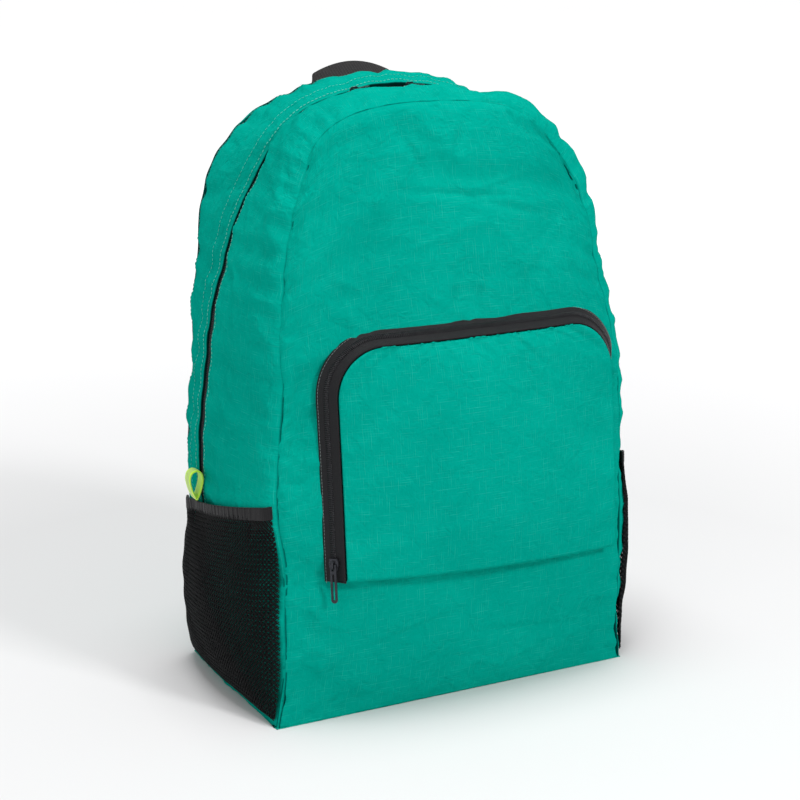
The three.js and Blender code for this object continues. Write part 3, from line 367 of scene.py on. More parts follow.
def grid_mesh(name, points, uv, painted_seam_shade=None):
    """A quad mesh from rows x columns of points in millimetres, with uv in millimetres."""
    rows, columns = points.shape[:2]
    index = np.arange(rows * columns).reshape(rows, columns)
    a, b = index[:-1, :-1].ravel(), index[:-1, 1:].ravel()
    c, d = index[1:, 1:].ravel(), index[1:, :-1].ravel()
    faces = np.stack([a, b, c, d], axis=1)
    mesh = bpy.data.meshes.new(name)
    mesh.from_pydata((points.reshape(-1, 3) * MM).tolist(), [], faces.tolist())
    layer = mesh.uv_layers.new(name="UVMap")
    loops = np.zeros(len(mesh.loops), int)
    mesh.loops.foreach_get("vertex_index", loops)
    layer.data.foreach_set("uv", (uv.reshape(-1, 2)[loops] * MM).astype(np.float32).ravel())
    # This mask holds painted seam shade for the cloth material.
    if painted_seam_shade is not None:
        mesh.attributes.new("painted_seam_shade", "FLOAT", "POINT").data.foreach_set("value", painted_seam_shade.ravel())
    mesh.polygons.foreach_set("use_smooth", np.ones(len(mesh.polygons), bool))
    return new_object(name, mesh)


def close_edges(count, near=(0.0035, 0.009, 0.018)):
    """Shares from 0 to 1 with a few extra ones close to both ends."""
    inner = np.linspace(near[-1], 1 - near[-1], count)
    return np.concatenate([[0], near[:-1], inner, [1 - n for n in reversed(near[:-1])], [1]])


def finish_mesh(piece, levels=0, wall=0.0):
    """Applies a subdivision and a wall, so that no modifier is left on the piece."""
    if levels:
        made = piece.modifiers.new("smoother", "SUBSURF")
        made.levels = made.render_levels = levels
    if wall:
        made = piece.modifiers.new("wall", "SOLIDIFY")
        made.thickness, made.offset = wall * MM, -1
    graph = bpy.context.evaluated_depsgraph_get()
    mesh = bpy.data.meshes.new_from_object(piece.evaluated_get(graph))
    mesh.name = piece.name
    places = np.zeros(len(mesh.vertices) * 3)
    mesh.vertices.foreach_get("co", places)
    places[2::3] = np.maximum(places[2::3], 0.0)
    mesh.vertices.foreach_set("co", places)
    piece.modifiers.clear()
    piece.data = mesh
    return piece


# %% [markdown]
# ## Letting the cloth settle
# Thin nylon over a soft load is full of shallow puckers that start at its seams. They can
# be drawn, or a cloth simulation can find them: the panel's rim is pinned to its seams,
# the cloth is cut a little too large, and a light pressure from inside stands for the
# load. The simulation runs on a coarse grid and only its displacement is kept, capped and
# blended, so that the fine mesh keeps its clean seams.


# %% Cloth simulation on a coarse grid
def settle(name, face, columns, rows, slack, pressure, cap, frames=12):
    """Displacement in millimetres of a rim-pinned panel, as a function of (u, v)."""
    u, v = np.meshgrid(np.linspace(0, 1, columns), np.linspace(0, 1, rows))
    start = face(u, v)
    panel = grid_mesh(name + "_sim", start, np.stack([u, v], axis=-1))
    inner = np.zeros((rows, columns), bool)
    inner[1:-1, 1:-1] = True
    rim = panel.vertex_groups.new(name="rim")
    rim.add([int(i) for i in np.flatnonzero(~inner.ravel())], 1.0, "REPLACE")
    cloth = panel.modifiers.new("cloth", "CLOTH")
    made = cloth.settings
    made.quality = 4
    made.mass = 0.15
    made.tension_stiffness = made.compression_stiffness = 12
    made.shear_stiffness = 3
    made.bending_stiffness = 0.15
    made.vertex_group_mass = "rim"
    made.shrink_min = -slack
    made.use_pressure = True
    made.uniform_pressure_force = pressure
    made.effector_weights.gravity = 0
    cloth.collision_settings.use_collision = False
    cloth.point_cache.frame_start, cloth.point_cache.frame_end = 1, frames
    scene = bpy.context.scene
    for number in range(1, frames + 1):
        scene.frame_set(number)
    graph = bpy.context.evaluated_depsgraph_get()
    moved = panel.evaluated_get(graph).to_mesh()
    after = np.zeros(rows * columns * 3)
    moved.vertices.foreach_get("co", after)
    after = after.reshape(rows, columns, 3) / MM
    scene.frame_set(1)
    bpy.data.objects.remove(panel)
    shift = after - start
    far = np.linalg.norm(shift, axis=-1, keepdims=True)
    shift *= cap * np.tanh(far / cap) / np.maximum(far, 1e-6)
    print(name, "settled, largest move in mm:", round(float(far.max()), 2))

    def moved_by(u, v):
        x = np.clip(u, 0, 1) * (columns - 1)
        y = np.clip(v, 0, 1) * (rows - 1)
        i = np.clip(np.floor(x).astype(int), 0, columns - 2)
        j = np.clip(np.floor(y).astype(int), 0, rows - 2)
        total = 0
        for di, wi in weights(x - i):
            for dj, wj in weights(y - j):
                ii = np.clip(i + di, 0, columns - 1)
                jj = np.clip(j + dj, 0, rows - 1)
                total = total + shift[jj, ii] * (wi * wj)[..., None]
        return total

    return moved_by


def weights(t):
    """Weights of the four neighbours in a smooth spline, so that no coarse facet shows."""
    return (
        (-1, (1 - t) ** 3 / 6),
        (0, (3 * t**3 - 6 * t**2 + 4) / 6),
        (1, (-3 * t**3 + 3 * t**2 + 3 * t + 1) / 6),
        (2, t**3 / 6),
    )


# %% [markdown]
# ## Materials
# Each finish is a small tree of nodes. Effects that several finishes share, such as a
# weave or slow changes of shade, are node groups that put out only masks and heights, and
# each material mixes them in its own way. Patterns read the UV map in metres on cloth, and
# Object coordinates elsewhere.


# %% Node helpers
def wire(tree, kind, inputs=None, **settings):
    """One node: settings are its properties, inputs its sockets by name or number."""
    node = tree.nodes.new(kind)
    for key, value in settings.items():
        setattr(node, key, value)
    for key, value in (inputs or {}).items():
        if isinstance(value, bpy.types.NodeSocket):
            tree.links.new(value, node.inputs[key])
        else:
            node.inputs[key].default_value = value
    return node


def sums(tree, operation, *values):
    node = wire(tree, "ShaderNodeMath", dict(enumerate(values)), operation=operation)
    return node.outputs[0]


def mixed(tree, share, first, second):
    inputs = {0: share, 6: first, 7: second}
    return wire(tree, "ShaderNodeMix", inputs, data_type="RGBA").outputs[2]


def group_tree(name, inputs, outputs):
    tree = bpy.data.node_groups.new(name, "ShaderNodeTree")
    for label, kind, value in inputs:
        socket = tree.interface.new_socket(label, in_out="INPUT", socket_type=kind)
        if value is not None:
            socket.default_value = value
    for label in outputs:
        tree.interface.new_socket(label, in_out="OUTPUT", socket_type="NodeSocketFloat")
    return tree, tree.nodes.new("NodeGroupInput"), tree.nodes.new("NodeGroupOutput")


def use_group(tree, group, inputs):
    node = tree.nodes.new("ShaderNodeGroup")
    node.node_tree = group
    for key, value in inputs.items():
        if isinstance(value, bpy.types.NodeSocket):
            tree.links.new(value, node.inputs[key])
        else:
            node.inputs[key].default_value = value
    return node


def linear(red, green, blue):
    """A display colour from 0 to 255 as the scene's linear colour."""
    values = [c / 255 for c in (red, green, blue)]
    return tuple(c / 12.92 if c <= 0.04045 else ((c + 0.055) / 1.055) ** 2.4 for c in values) + (1.0,)


# %% Plain weave group
def build_weave():
    """Warp and weft threads that pass over and under, from a map in metres."""
    tree, start, end = group_tree(
        "thread_weave",
        [("Map", "NodeSocketVector", None), ("Pitch", "NodeSocketFloat", 0.0004)],
        ["Height", "Over"],
    )
    parts = wire(tree, "ShaderNodeSeparateXYZ", {0: start.outputs["Map"]})
    waves = []
    for axis in (0, 1):
        scaled = sums(tree, "DIVIDE", parts.outputs[axis], start.outputs["Pitch"])
        waves.append(sums(tree, "SINE", sums(tree, "MULTIPLY", scaled, math.pi)))
    product = sums(tree, "MULTIPLY", waves[0], waves[1])
    height = sums(tree, "MULTIPLY", sums(tree, "ABSOLUTE", product), 1.0)
    tree.links.new(height, end.inputs["Height"])
    tree.links.new(sums(tree, "MULTIPLY_ADD", product, 0.5, 0.5), end.inputs["Over"])
    return tree


THREAD_WEAVE = build_weave()


# %% Ripstop grid group
def build_ripstop():
    """Thicker threads on a small grid, which show in short broken streaks."""
    tree, start, end = group_tree(
        "ripstop_grid",
        [("Map", "NodeSocketVector", None), ("Spacing", "NodeSocketFloat", 0.0017)],
        ["Lines", "Warp", "Weft"],
    )
    half = sums(tree, "MULTIPLY", start.outputs["Spacing"], 0.5)
    parts = wire(tree, "ShaderNodeSeparateXYZ", {0: start.outputs["Map"]})
    lines = []
    for axis, stretch in ((0, (900, 70, 1)), (1, (70, 900, 1))):
        near = sums(tree, "PINGPONG", parts.outputs[axis], half)
        share = sums(tree, "DIVIDE", near, half)
        ridge = wire(tree, "ShaderNodeMapRange", {0: share, 1: 0.0, 2: 0.3, 3: 1.0, 4: 0.0})
        placed = wire(tree, "ShaderNodeMapping", {0: start.outputs["Map"], 3: stretch})
        broken = wire(tree, "ShaderNodeTexNoise", {"Vector": placed.outputs[0], "Scale": 1.0, "Detail": 2.0})
        seen = wire(tree, "ShaderNodeMapRange", {0: broken.outputs[0], 1: 0.5, 2: 0.72, 3: 0.0, 4: 1.0})
        lines.append(sums(tree, "MULTIPLY", ridge.outputs[0], seen.outputs[0]))
    tree.links.new(sums(tree, "MAXIMUM", *lines), end.inputs["Lines"])
    tree.links.new(lines[0], end.inputs["Warp"])
    tree.links.new(lines[1], end.inputs["Weft"])
    return tree


RIPSTOP_GRID = build_ripstop()


# %% Crumple and shade groups
def build_crumple():
    """Shallow creases of thin coated nylon, at two sizes."""
    tree, start, end = group_tree(
        "crumple", [("Map", "NodeSocketVector", None), ("Scale", "NodeSocketFloat", 1.0)], ["Height"]
    )
    total = None
    for scale, share in ((26.0, 0.55), (70.0, 0.3), (170.0, 0.12)):
        size = sums(tree, "MULTIPLY", start.outputs["Scale"], scale)
        noise = wire(
            tree,
            "ShaderNodeTexNoise",
            {"Vector": start.outputs["Map"], "Scale": size, "Detail": 3.0, "Distortion": 0.9},
        )
        centred = sums(tree, "ABSOLUTE", sums(tree, "SUBTRACT", noise.outputs[0], 0.5))
        part = sums(tree, "MULTIPLY", centred, share)
        total = part if total is None else sums(tree, "ADD", total, part)
    tree.links.new(total, end.inputs["Height"])
    return tree


def build_shade():
    """Slow and quick changes of shade, centred on one half."""
    tree, start, end = group_tree(
        "shade_drift",
        [
            ("Map", "NodeSocketVector", None),
            ("Slow", "NodeSocketFloat", 7.0),
            ("Quick", "NodeSocketFloat", 900.0),
        ],
        ["Slow", "Quick"],
    )
    for label, detail in (("Slow", 3.0), ("Quick", 2.0)):
        inputs = {"Vector": start.outputs["Map"], "Scale": start.outputs[label], "Detail": detail}
        noise = wire(tree, "ShaderNodeTexNoise", inputs)
        tree.links.new(noise.outputs[0], end.inputs[label])
    return tree


CRUMPLE, SHADE_DRIFT = build_crumple(), build_shade()


# %% Material starter
def new_material(name, roughness, sheen=0.0, sheen_roughness=0.5, metallic=0.0, coat=0.0, specular=0.5):
    material = bpy.data.materials.new(name)
    material.use_nodes = True
    tree = material.node_tree
    surface = tree.nodes["Principled BSDF"]
    surface.inputs["Roughness"].default_value = roughness
    surface.inputs["Sheen Weight"].default_value = sheen
    surface.inputs["Sheen Roughness"].default_value = sheen_roughness
    surface.inputs["Metallic"].default_value = metallic
    surface.inputs["Coat Weight"].default_value = coat
    surface.inputs["Specular IOR Level"].default_value = specular
    return material, tree, surface


def coordinates(tree, kind="UV"):
    return wire(tree, "ShaderNodeTexCoord").outputs[kind]


def bumped(tree, surface, *layers):
    """Stacks bumps, each a height socket with its depth in metres."""
    normal = None
    for height, distance in layers:
        inputs = {"Height": height, "Distance": distance, "Strength": 1.0}
        if normal is not None:
            inputs["Normal"] = normal
        normal = wire(tree, "ShaderNodeBump", inputs).outputs[0]
    tree.links.new(normal, surface.inputs["Normal"])


# %% Ripstop cloth
def ripstop_cloth(name, light, dark, crumple_depth=0.0065):
    """Thin coated nylon: streaky ripstop grid and faint crumple, without sheen."""
    material, tree, surface = new_material(name, 0.6, specular=0.0)
    map_ = coordinates(tree)
    grid = use_group(tree, RIPSTOP_GRID, {"Map": map_, "Spacing": 0.0017})
    weave = use_group(tree, THREAD_WEAVE, {"Map": map_, "Pitch": 0.00042})
    crumple = use_group(tree, CRUMPLE, {"Map": map_, "Scale": 1.0})
    shade = use_group(tree, SHADE_DRIFT, {"Map": map_, "Slow": 9.0, "Quick": 700.0})
    drift = wire(tree, "ShaderNodeMapRange", {0: shade.outputs["Slow"], 1: 0.3, 2: 0.7, 3: 0.1, 4: 0.9})
    base = mixed(tree, drift.outputs[0], dark, light)
    streak = mixed(tree, sums(tree, "MULTIPLY", grid.outputs["Lines"], 0.42), base, linear(60, 196, 176))
    fine = sums(tree, "MULTIPLY", weave.outputs["Over"], 0.06)
    woven = mixed(tree, fine, streak, dark)
    # The mask read here paints shade: turned-in rows and seam edges take a deep teal, as shaded seam valleys
    # would.
    painted_seam_shade = wire(tree, "ShaderNodeAttribute", attribute_name="painted_seam_shade").outputs["Fac"]
    tree.links.new(mixed(tree, painted_seam_shade, woven, linear(0, 52, 48)), surface.inputs["Base Color"])
    rough = wire(tree, "ShaderNodeMapRange", {0: shade.outputs["Quick"], 1: 0.3, 2: 0.7, 3: 0.44, 4: 0.56})
    tree.links.new(rough.outputs[0], surface.inputs["Roughness"])
    bumped(
        tree,
        surface,
        (crumple.outputs["Height"], crumple_depth),
        (grid.outputs["Lines"], 0.00006),
        (weave.outputs["Height"], 0.00002),
    )
    return material


TEAL_CLOTH = ripstop_cloth("teal_ripstop", linear(2, 158, 140), linear(0, 142, 126))
print("cloth finish:", TEAL_CLOTH.name)


# %% Webbing, tapes and net
def woven_tape(name, light, dark, pitch, rib, depth=0.00018, roughness=0.5, sheen=0.04):
    """Narrow woven nylon: ribs across and a fine weave between them."""
    material, tree, surface = new_material(name, roughness, sheen=sheen, specular=0.2)
    map_ = coordinates(tree)
    weave = use_group(tree, THREAD_WEAVE, {"Map": map_, "Pitch": pitch})
    parts = wire(tree, "ShaderNodeSeparateXYZ", {0: map_})
    wave = sums(tree, "SINE", sums(tree, "MULTIPLY", parts.outputs[1], 2 * math.pi / rib))
    ribs = sums(tree, "MULTIPLY_ADD", wave, 0.5, 0.5)
    shade = use_group(tree, SHADE_DRIFT, {"Map": map_, "Slow": 60.0, "Quick": 2500.0})
    over = sums(tree, "MULTIPLY", weave.outputs["Over"], ribs)
    drifted = sums(tree, "MULTIPLY_ADD", shade.outputs["Quick"], 0.5, over)
    colour = mixed(tree, sums(tree, "MULTIPLY", drifted, 0.7), dark, light)
    tree.links.new(colour, surface.inputs["Base Color"])
    bumped(tree, surface, (weave.outputs["Height"], depth), (ribs, depth * 0.6))
    return material


BLACK_WEBBING = woven_tape("black_webbing", linear(30, 28, 29), linear(10, 9, 10), 0.0011, 0.0022)
ZIP_TAPE = woven_tape("zip_tape", linear(27, 27, 30), linear(12, 12, 15), 0.0006, 0.0012, 0.00008)
HEM_BAND = woven_tape("hem_band", linear(30, 29, 32), linear(13, 13, 15), 0.0007, 0.0014, 0.0001)


def net_thread(name):
    material, tree, surface = new_material(name, 0.6, specular=0.15)
    place = coordinates(tree, "Object")
    shade = use_group(tree, SHADE_DRIFT, {"Map": place, "Slow": 40.0, "Quick": 2600.0})
    tree.links.new(
        mixed(tree, shade.outputs["Quick"], linear(4, 5, 6), linear(16, 19, 21)), surface.inputs["Base Color"]
    )
    bumped(tree, surface, (shade.outputs["Quick"], 0.00012))
    return material


NET_THREAD = net_thread("net_thread")


def stitch_thread(name, light, dark):
    material, tree, surface = new_material(name, 0.5, sheen=0.2)
    place = coordinates(tree, "Object")
    shade = use_group(tree, SHADE_DRIFT, {"Map": place, "Slow": 90.0, "Quick": 4000.0})
    tree.links.new(mixed(tree, shade.outputs["Quick"], dark, light), surface.inputs["Base Color"])
    bumped(tree, surface, (shade.outputs["Quick"], 0.00008))
    return material


# Light thread: partly the stitch colour, partly a painted highlight along the zip lips and the rear line.
TEAL_THREAD_AND_HIGHLIGHT = stitch_thread("teal_thread_and_highlight", linear(110, 218, 198), linear(34, 170, 150))
# Dark thread, darker than the cloth: painted shade that draws the back seam as a dark line.
SHADE_THREAD = stitch_thread("shade_thread", linear(0, 122, 108), linear(0, 92, 82))
BLACK_THREAD = stitch_thread("black_thread", linear(40, 40, 44), linear(14, 14, 16))
# Grey thread: stitches along the pocket band that also paint its edge highlight.
GREY_THREAD_AND_EDGE_HIGHLIGHT = stitch_thread("grey_thread_and_edge_highlight", linear(132, 146, 144), linear(74, 88, 88))


# %% Coil, metal, plastic and bright tape
def hard_finish(name, light, dark, roughness, metallic=0.0, coat=0.0, grain=0.00003, wear=None):
    """Moulded or coated hard parts, with fine grain and lighter scuffs."""
    material, tree, surface = new_material(name, roughness, metallic=metallic, coat=coat)
    place = coordinates(tree, "Object")
    shade = use_group(tree, SHADE_DRIFT, {"Map": place, "Slow": 160.0, "Quick": 3000.0})
    colour = mixed(tree, shade.outputs["Slow"], dark, light)
    if wear:
        limits = {0: shade.outputs["Quick"], 1: 0.62, 2: 0.75, 3: 0.0, 4: 0.7}
        scuff = wire(tree, "ShaderNodeMapRange", limits)
        colour = mixed(tree, scuff.outputs[0], colour, wear)
    tree.links.new(colour, surface.inputs["Base Color"])
    limits = {0: shade.outputs["Quick"], 1: 0.3, 2: 0.7, 3: roughness * 0.8, 4: roughness * 1.25}
    rough = wire(tree, "ShaderNodeMapRange", limits)
    tree.links.new(rough.outputs[0], surface.inputs["Roughness"])
    bumped(tree, surface, (shade.outputs["Quick"], grain))
    return material


ZIP_COIL = hard_finish("zip_coil", linear(40, 40, 45), linear(16, 16, 20), 0.4)
ZIP_METAL = hard_finish(
    "zip_metal", linear(58, 60, 66), linear(34, 35, 40), 0.3, metallic=0.75, wear=linear(120, 122, 128)
)
BUCKLE_PLASTIC = hard_finish("buckle_plastic", linear(36, 37, 40), linear(24, 25, 27), 0.45, grain=0.00005)


def loop_tape(name):
    """A folded loop: bright inside, grey reflective outside with bright edges."""
    material, tree, surface = new_material(name, 0.4, sheen=0.1)
    map_ = coordinates(tree)
    parts = wire(tree, "ShaderNodeSeparateXYZ", {0: map_})
    weave = use_group(tree, THREAD_WEAVE, {"Map": map_, "Pitch": 0.0006})
    shade = use_group(tree, SHADE_DRIFT, {"Map": map_, "Slow": 120.0, "Quick": 3000.0})
    bright = mixed(tree, shade.outputs["Slow"], linear(176, 232, 24), linear(214, 252, 70))
    grey = mixed(tree, shade.outputs["Quick"], linear(128, 132, 130), linear(168, 170, 166))
    strip = wire(tree, "ShaderNodeMapRange", {0: parts.outputs[0], 1: 0.0032, 2: 0.0036, 3: 1.0, 4: 0.0})
    outside = wire(tree, "ShaderNodeMath", {0: parts.outputs[0], 1: 0.0}, operation="GREATER_THAN")
    share = sums(tree, "MULTIPLY", outside.outputs[0], strip.outputs[0])
    tree.links.new(mixed(tree, share, bright, grey), surface.inputs["Base Color"])
    bumped(tree, surface, (weave.outputs["Height"], 0.00008))
    return material


LOOP_TAPE = loop_tape("loop_tape")


# %% Giving a piece its material and body
def dress(piece, material, nodes=(), body="bag"):
    piece.data.materials.clear()
    piece.data.materials.append(material)
    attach(piece, body)
    if nodes:
        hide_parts(*nodes)
    return piece


# %% [markdown]
# ## Camera, floor and light
# The camera comes from the photograph: its base corners and seam heights fix the angle and
# the distance. The floor is a wide plane with a painted glow that grows far away, so that it
# ends in white as the photograph does, and three soft lamps leave a faint shadow round the base.

# %% Camera
PHOTO_AZIMUTH, PHOTO_ELEVATION = math.radians(-27.36), math.radians(14.94)
TARGET, DISTANCE = Vector((-4.83, 0, 201.45)) * MM, 1397.95 * MM
back_towards_camera = Vector(
    (
        math.sin(PHOTO_AZIMUTH) * math.cos(PHOTO_ELEVATION),
        -math.cos(PHOTO_AZIMUTH) * math.cos(PHOTO_ELEVATION),
        math.sin(PHOTO_ELEVATION),
    )
)
lens = bpy.data.cameras.new("photo_camera")
lens.sensor_width, lens.lens = 36.0, 85.5
lens.clip_start, lens.clip_end = 0.05, 60
camera = new_object("photo_camera", lens)
camera.location = TARGET + back_towards_camera * DISTANCE
camera.rotation_mode = "QUATERNION"
camera.rotation_quaternion = (-back_towards_camera).to_track_quat("-Z", "Y")
bpy.context.scene.camera = camera
bpy.context.scene.view_settings.view_transform = "Standard"
print("camera at", [round(c, 3) for c in camera.location])

# %% Floor and lamps
floor_mesh = bpy.data.meshes.new("floor")
reach = 30.0
floor_mesh.from_pydata(
    [(-reach, -reach, 0), (reach, -reach, 0), (reach, reach, 0), (-reach, reach, 0)], [], [(0, 1, 2, 3)]
)
floor = new_object("floor", floor_mesh)
floor_finish, floor_tree, floor_surface = new_material("pale_floor", 0.9, specular=0.0)
floor_place = coordinates(floor_tree, "Object")
floor_drift = use_group(floor_tree, SHADE_DRIFT, {"Map": floor_place, "Slow": 1.5, "Quick": 300.0})
floor_tree.links.new(
    mixed(floor_tree, floor_drift.outputs["Slow"], (0.74, 0.74, 0.745, 1), (0.77, 0.77, 0.775, 1)),
    floor_surface.inputs["Base Color"],
)
# Painted light: the floor glows more with distance from the bag, up to GLOW_MOST of white.
floor_far = wire(floor_tree, "ShaderNodeVectorMath", {0: floor_place}, operation="LENGTH")
GLOW_START, GLOW_END, GLOW_MOST = 0.45, 1.9, 0.62  # metres from the bag, and a share of white
glow_limits = {0: floor_far.outputs["Value"], 1: GLOW_START, 2: GLOW_END, 3: 0.0, 4: GLOW_MOST}
floor_glow = wire(floor_tree, "ShaderNodeMapRange", glow_limits)
floor_colour = mixed(floor_tree, floor_glow.outputs[0], (0, 0, 0, 1), (1, 1, 1, 1))
floor_tree.links.new(floor_colour, floor_surface.inputs["Emission Color"])
floor_surface.inputs["Emission Strength"].default_value = 1.0
floor.data.materials.append(floor_finish)

world = bpy.data.worlds.new("studio")
world.use_nodes = True
world.node_tree.nodes["Background"].inputs["Color"].default_value = (1, 1, 1, 1)
world.node_tree.nodes["Background"].inputs["Strength"].default_value = 0.5
bpy.context.scene.world = world

LAMPS = (
    # name, place, aim, size, power
    ("overhead", (-0.1, 0.0, 2.2), (0, 0, 0.1), 0.9, 28),
    ("front_right", (1.0, -2.2, 1.9), (0, 0, 0.2), 0.5, 34),
    ("low_left", (-1.9, -1.4, 0.7), (0, 0, 0.2), 1.0, 7),
)
for name, place, aim, size, power in LAMPS:
    light = bpy.data.lights.new(name, "AREA")
    light.size, light.energy = size, power
    lamp = new_object(name, light)
    lamp.location = place
    lamp.rotation_mode = "QUATERNION"
    lamp.rotation_quaternion = (Vector(aim) - Vector(place)).to_track_quat("-Z", "Y")
print("lamps:", [row[0] for row in LAMPS])

# %% [markdown]
# ## Repeats: stitches and teeth
# A seam holds hundreds of stitches and a zip hundreds of teeth. Geometry Nodes place one
# small shape along a line at an even pitch. The tree is built once with named inputs, it
# ends in Realize Instances and Set Material, and its result is turned into a plain mesh.


# %% Geometry Nodes: a shape repeated along a line
def build_repeat_tree():
    tree = bpy.data.node_groups.new("shape_along_line", "GeometryNodeTree")
    tree.interface.new_socket("Geometry", in_out="INPUT", socket_type="NodeSocketGeometry")
    tree.interface.new_socket("Pitch", in_out="INPUT", socket_type="NodeSocketFloat")
    tree.interface.new_socket("Length", in_out="INPUT", socket_type="NodeSocketFloat")
    tree.interface.new_socket("Radius", in_out="INPUT", socket_type="NodeSocketFloat")
    tree.interface.new_socket("Turn", in_out="INPUT", socket_type="NodeSocketFloat")
    tree.interface.new_socket("Material", in_out="INPUT", socket_type="NodeSocketMaterial")
    tree.interface.new_socket("Geometry", in_out="OUTPUT", socket_type="NodeSocketGeometry")
    start, end = tree.nodes.new("NodeGroupInput"), tree.nodes.new("NodeGroupOutput")
    given = start.outputs
    line = wire(tree, "GeometryNodeMeshToCurve", {"Mesh": given["Geometry"]})
    spacing = {"Curve": line.outputs[0], "Length": given["Pitch"]}
    even = wire(tree, "GeometryNodeResampleCurve", spacing, mode="LENGTH")
    tangent = wire(tree, "GeometryNodeInputTangent")
    kept = wire(
        tree, "GeometryNodeCaptureAttribute", {"Geometry": even.outputs[0]}, domain="POINT"
    )
    kept.capture_items.new("VECTOR", "Run")
    tree.links.new(tangent.outputs[0], kept.inputs["Run"])
    facing = wire(
        tree, "FunctionNodeAlignRotationToVector", {"Vector": kept.outputs["Run"]}, axis="Z"
    )
    lean = wire(tree, "FunctionNodeAxisAngleToRotation", {"Axis": (1.0, 0.0, 0.0), "Angle": given["Turn"]})
    turned = wire(
        tree, "FunctionNodeRotateRotation", {0: facing.outputs[0], 1: lean.outputs[0]}, rotation_space="LOCAL"
    )
    shape = wire(
        tree,
        "GeometryNodeMeshUVSphere",
        {"Segments": 5, "Rings": 4, "Radius": 0.5},
    )
    size = wire(tree, "ShaderNodeCombineXYZ", {0: given["Radius"], 1: given["Radius"], 2: given["Length"]})
    placed = wire(
        tree,
        "GeometryNodeInstanceOnPoints",
        {
            "Points": kept.outputs[0],
            "Instance": shape.outputs[0],
            "Rotation": turned.outputs[0],
            "Scale": size.outputs[0],
        },
    )
    real = wire(tree, "GeometryNodeRealizeInstances", {0: placed.outputs[0]})
    round_ = wire(tree, "GeometryNodeSetShadeSmooth", {0: real.outputs[0]})
    finish = {"Geometry": round_.outputs[0], "Material": given["Material"]}
    painted = wire(tree, "GeometryNodeSetMaterial", finish)
    tree.links.new(painted.outputs[0], end.inputs[0])
    return tree


REPEAT_TREE = build_repeat_tree()


def line_object(name, runs):
    """Edges through each run of points, in millimetres."""
    vertices, edges = [], []
    for run in runs:
        first = len(vertices)
        vertices.extend((np.asarray(run) * MM).tolist())
        edges.extend((first + i, first + i + 1) for i in range(len(run) - 1))
    mesh = bpy.data.meshes.new(name)
    mesh.from_pydata(vertices, edges, [])
    return new_object(name, mesh)


def through_tree(piece, tree, inputs):
    """Runs a Geometry Nodes tree over the piece and keeps the result as its plain mesh."""
    made = piece.modifiers.new("repeat", "NODES")
    made.node_group = tree
    for item in tree.interface.items_tree:
        if item.in_out == "INPUT" and item.name in inputs:
            made[item.identifier] = inputs[item.name]
    return finish_mesh(piece)


def stitches(name, runs, material, pitch=3.2, length=2.3, radius=0.55, slot="ripstop_cloth"):
    piece = line_object(name, runs)
    through_tree(
        piece,
        REPEAT_TREE,
        {
            "Pitch": pitch * MM,
            "Length": length * MM,
            "Radius": radius * MM,
            "Turn": 0.0,
            "Material": material,
        },
    )
    print(name, len(piece.data.polygons), "faces")
    return dress(piece, material)


# %% [markdown]
# ## The cloth body
# Front, two side panels, back and base. Each panel but the base first settles on a coarse
# grid, then its fine mesh is the same function plus the settled displacement.


# %% Turned-in edges
ALL_SIDES = ("left", "right", "low", "high")


def turned_in(points, uv, directions, depths=(0.9, 5.5), sides=ALL_SIDES, seams=()):
    """Adds rows beyond the grid's edges, and marks them and the seam edges with a mask for painted seam
    shade, which darkens the cloth in the seam valleys.
    """
    extra = {side: len(depths) if side in sides else 0 for side in ALL_SIDES}
    painted_seam_shade = np.pad(
        np.zeros(points.shape[:2]),
        ((extra["low"], extra["high"]), (extra["left"], extra["right"])),
        constant_values=1.0,
    )
    first_row, first_column = extra["low"], extra["left"]
    inner = painted_seam_shade[first_row : first_row + len(points), first_column : first_column + points.shape[1]]
    # Seam edges get 0.9 of the mask, a painted dark line of shade along each seam.
    for side, edge in zip(ALL_SIDES, (inner[:, :1], inner[:, -1:], inner[:1], inner[-1:])):
        edge[:] = 0.9 if side in seams else 0.0
    for side in sides:
        across = side in ("left", "right")
        last = side in ("right", "high")
        axis = 1 if across else 0
        place = [-1 if last else 0]
        edge, edge_uv, way = (np.take(grid, place, axis=axis) for grid in (points, uv, directions))
        sign = 1 if last else -1
        for depth in depths:
            more = edge + way * depth
            step = np.zeros(2)
            step[0 if across else 1] = sign * depth
            more_uv = edge_uv + step
            order = [points, more] if last else [more, points]
            points = np.concatenate(order, axis=axis)
            order_uv = [uv, more_uv] if last else [more_uv, uv]
            uv = np.concatenate(order_uv, axis=axis)
            same = [directions, way] if last else [way, directions]
            directions = np.concatenate(same, axis=axis)
    return points, uv, painted_seam_shade


def pucker(along_mm, from_edge, seed, depth, pitch, reach=11):
    """Small sharp-crested ripples square to a seam that die away from it."""
    rng = np.random.default_rng(seed)
    wave = np.zeros_like(along_mm)
    for step in range(5):
        length = pitch * rng.uniform(0.8, 2.2)
        slant = rng.uniform(-0.7, 0.7) * from_edge
        turn = np.pi * (along_mm + slant) / length + rng.uniform(0, np.pi)
        patch = 0.5 + 0.5 * np.sin(2 * turn / rng.uniform(3, 6) + rng.uniform(0, 2 * np.pi))
        wave = wave + patch * (1 - 1.6 * np.abs(np.sin(turn)))
    near = np.exp(-np.maximum(from_edge - 3, 0) / reach) * smooth(from_edge, 0, 5)
    return depth * wave / 1.7 * near


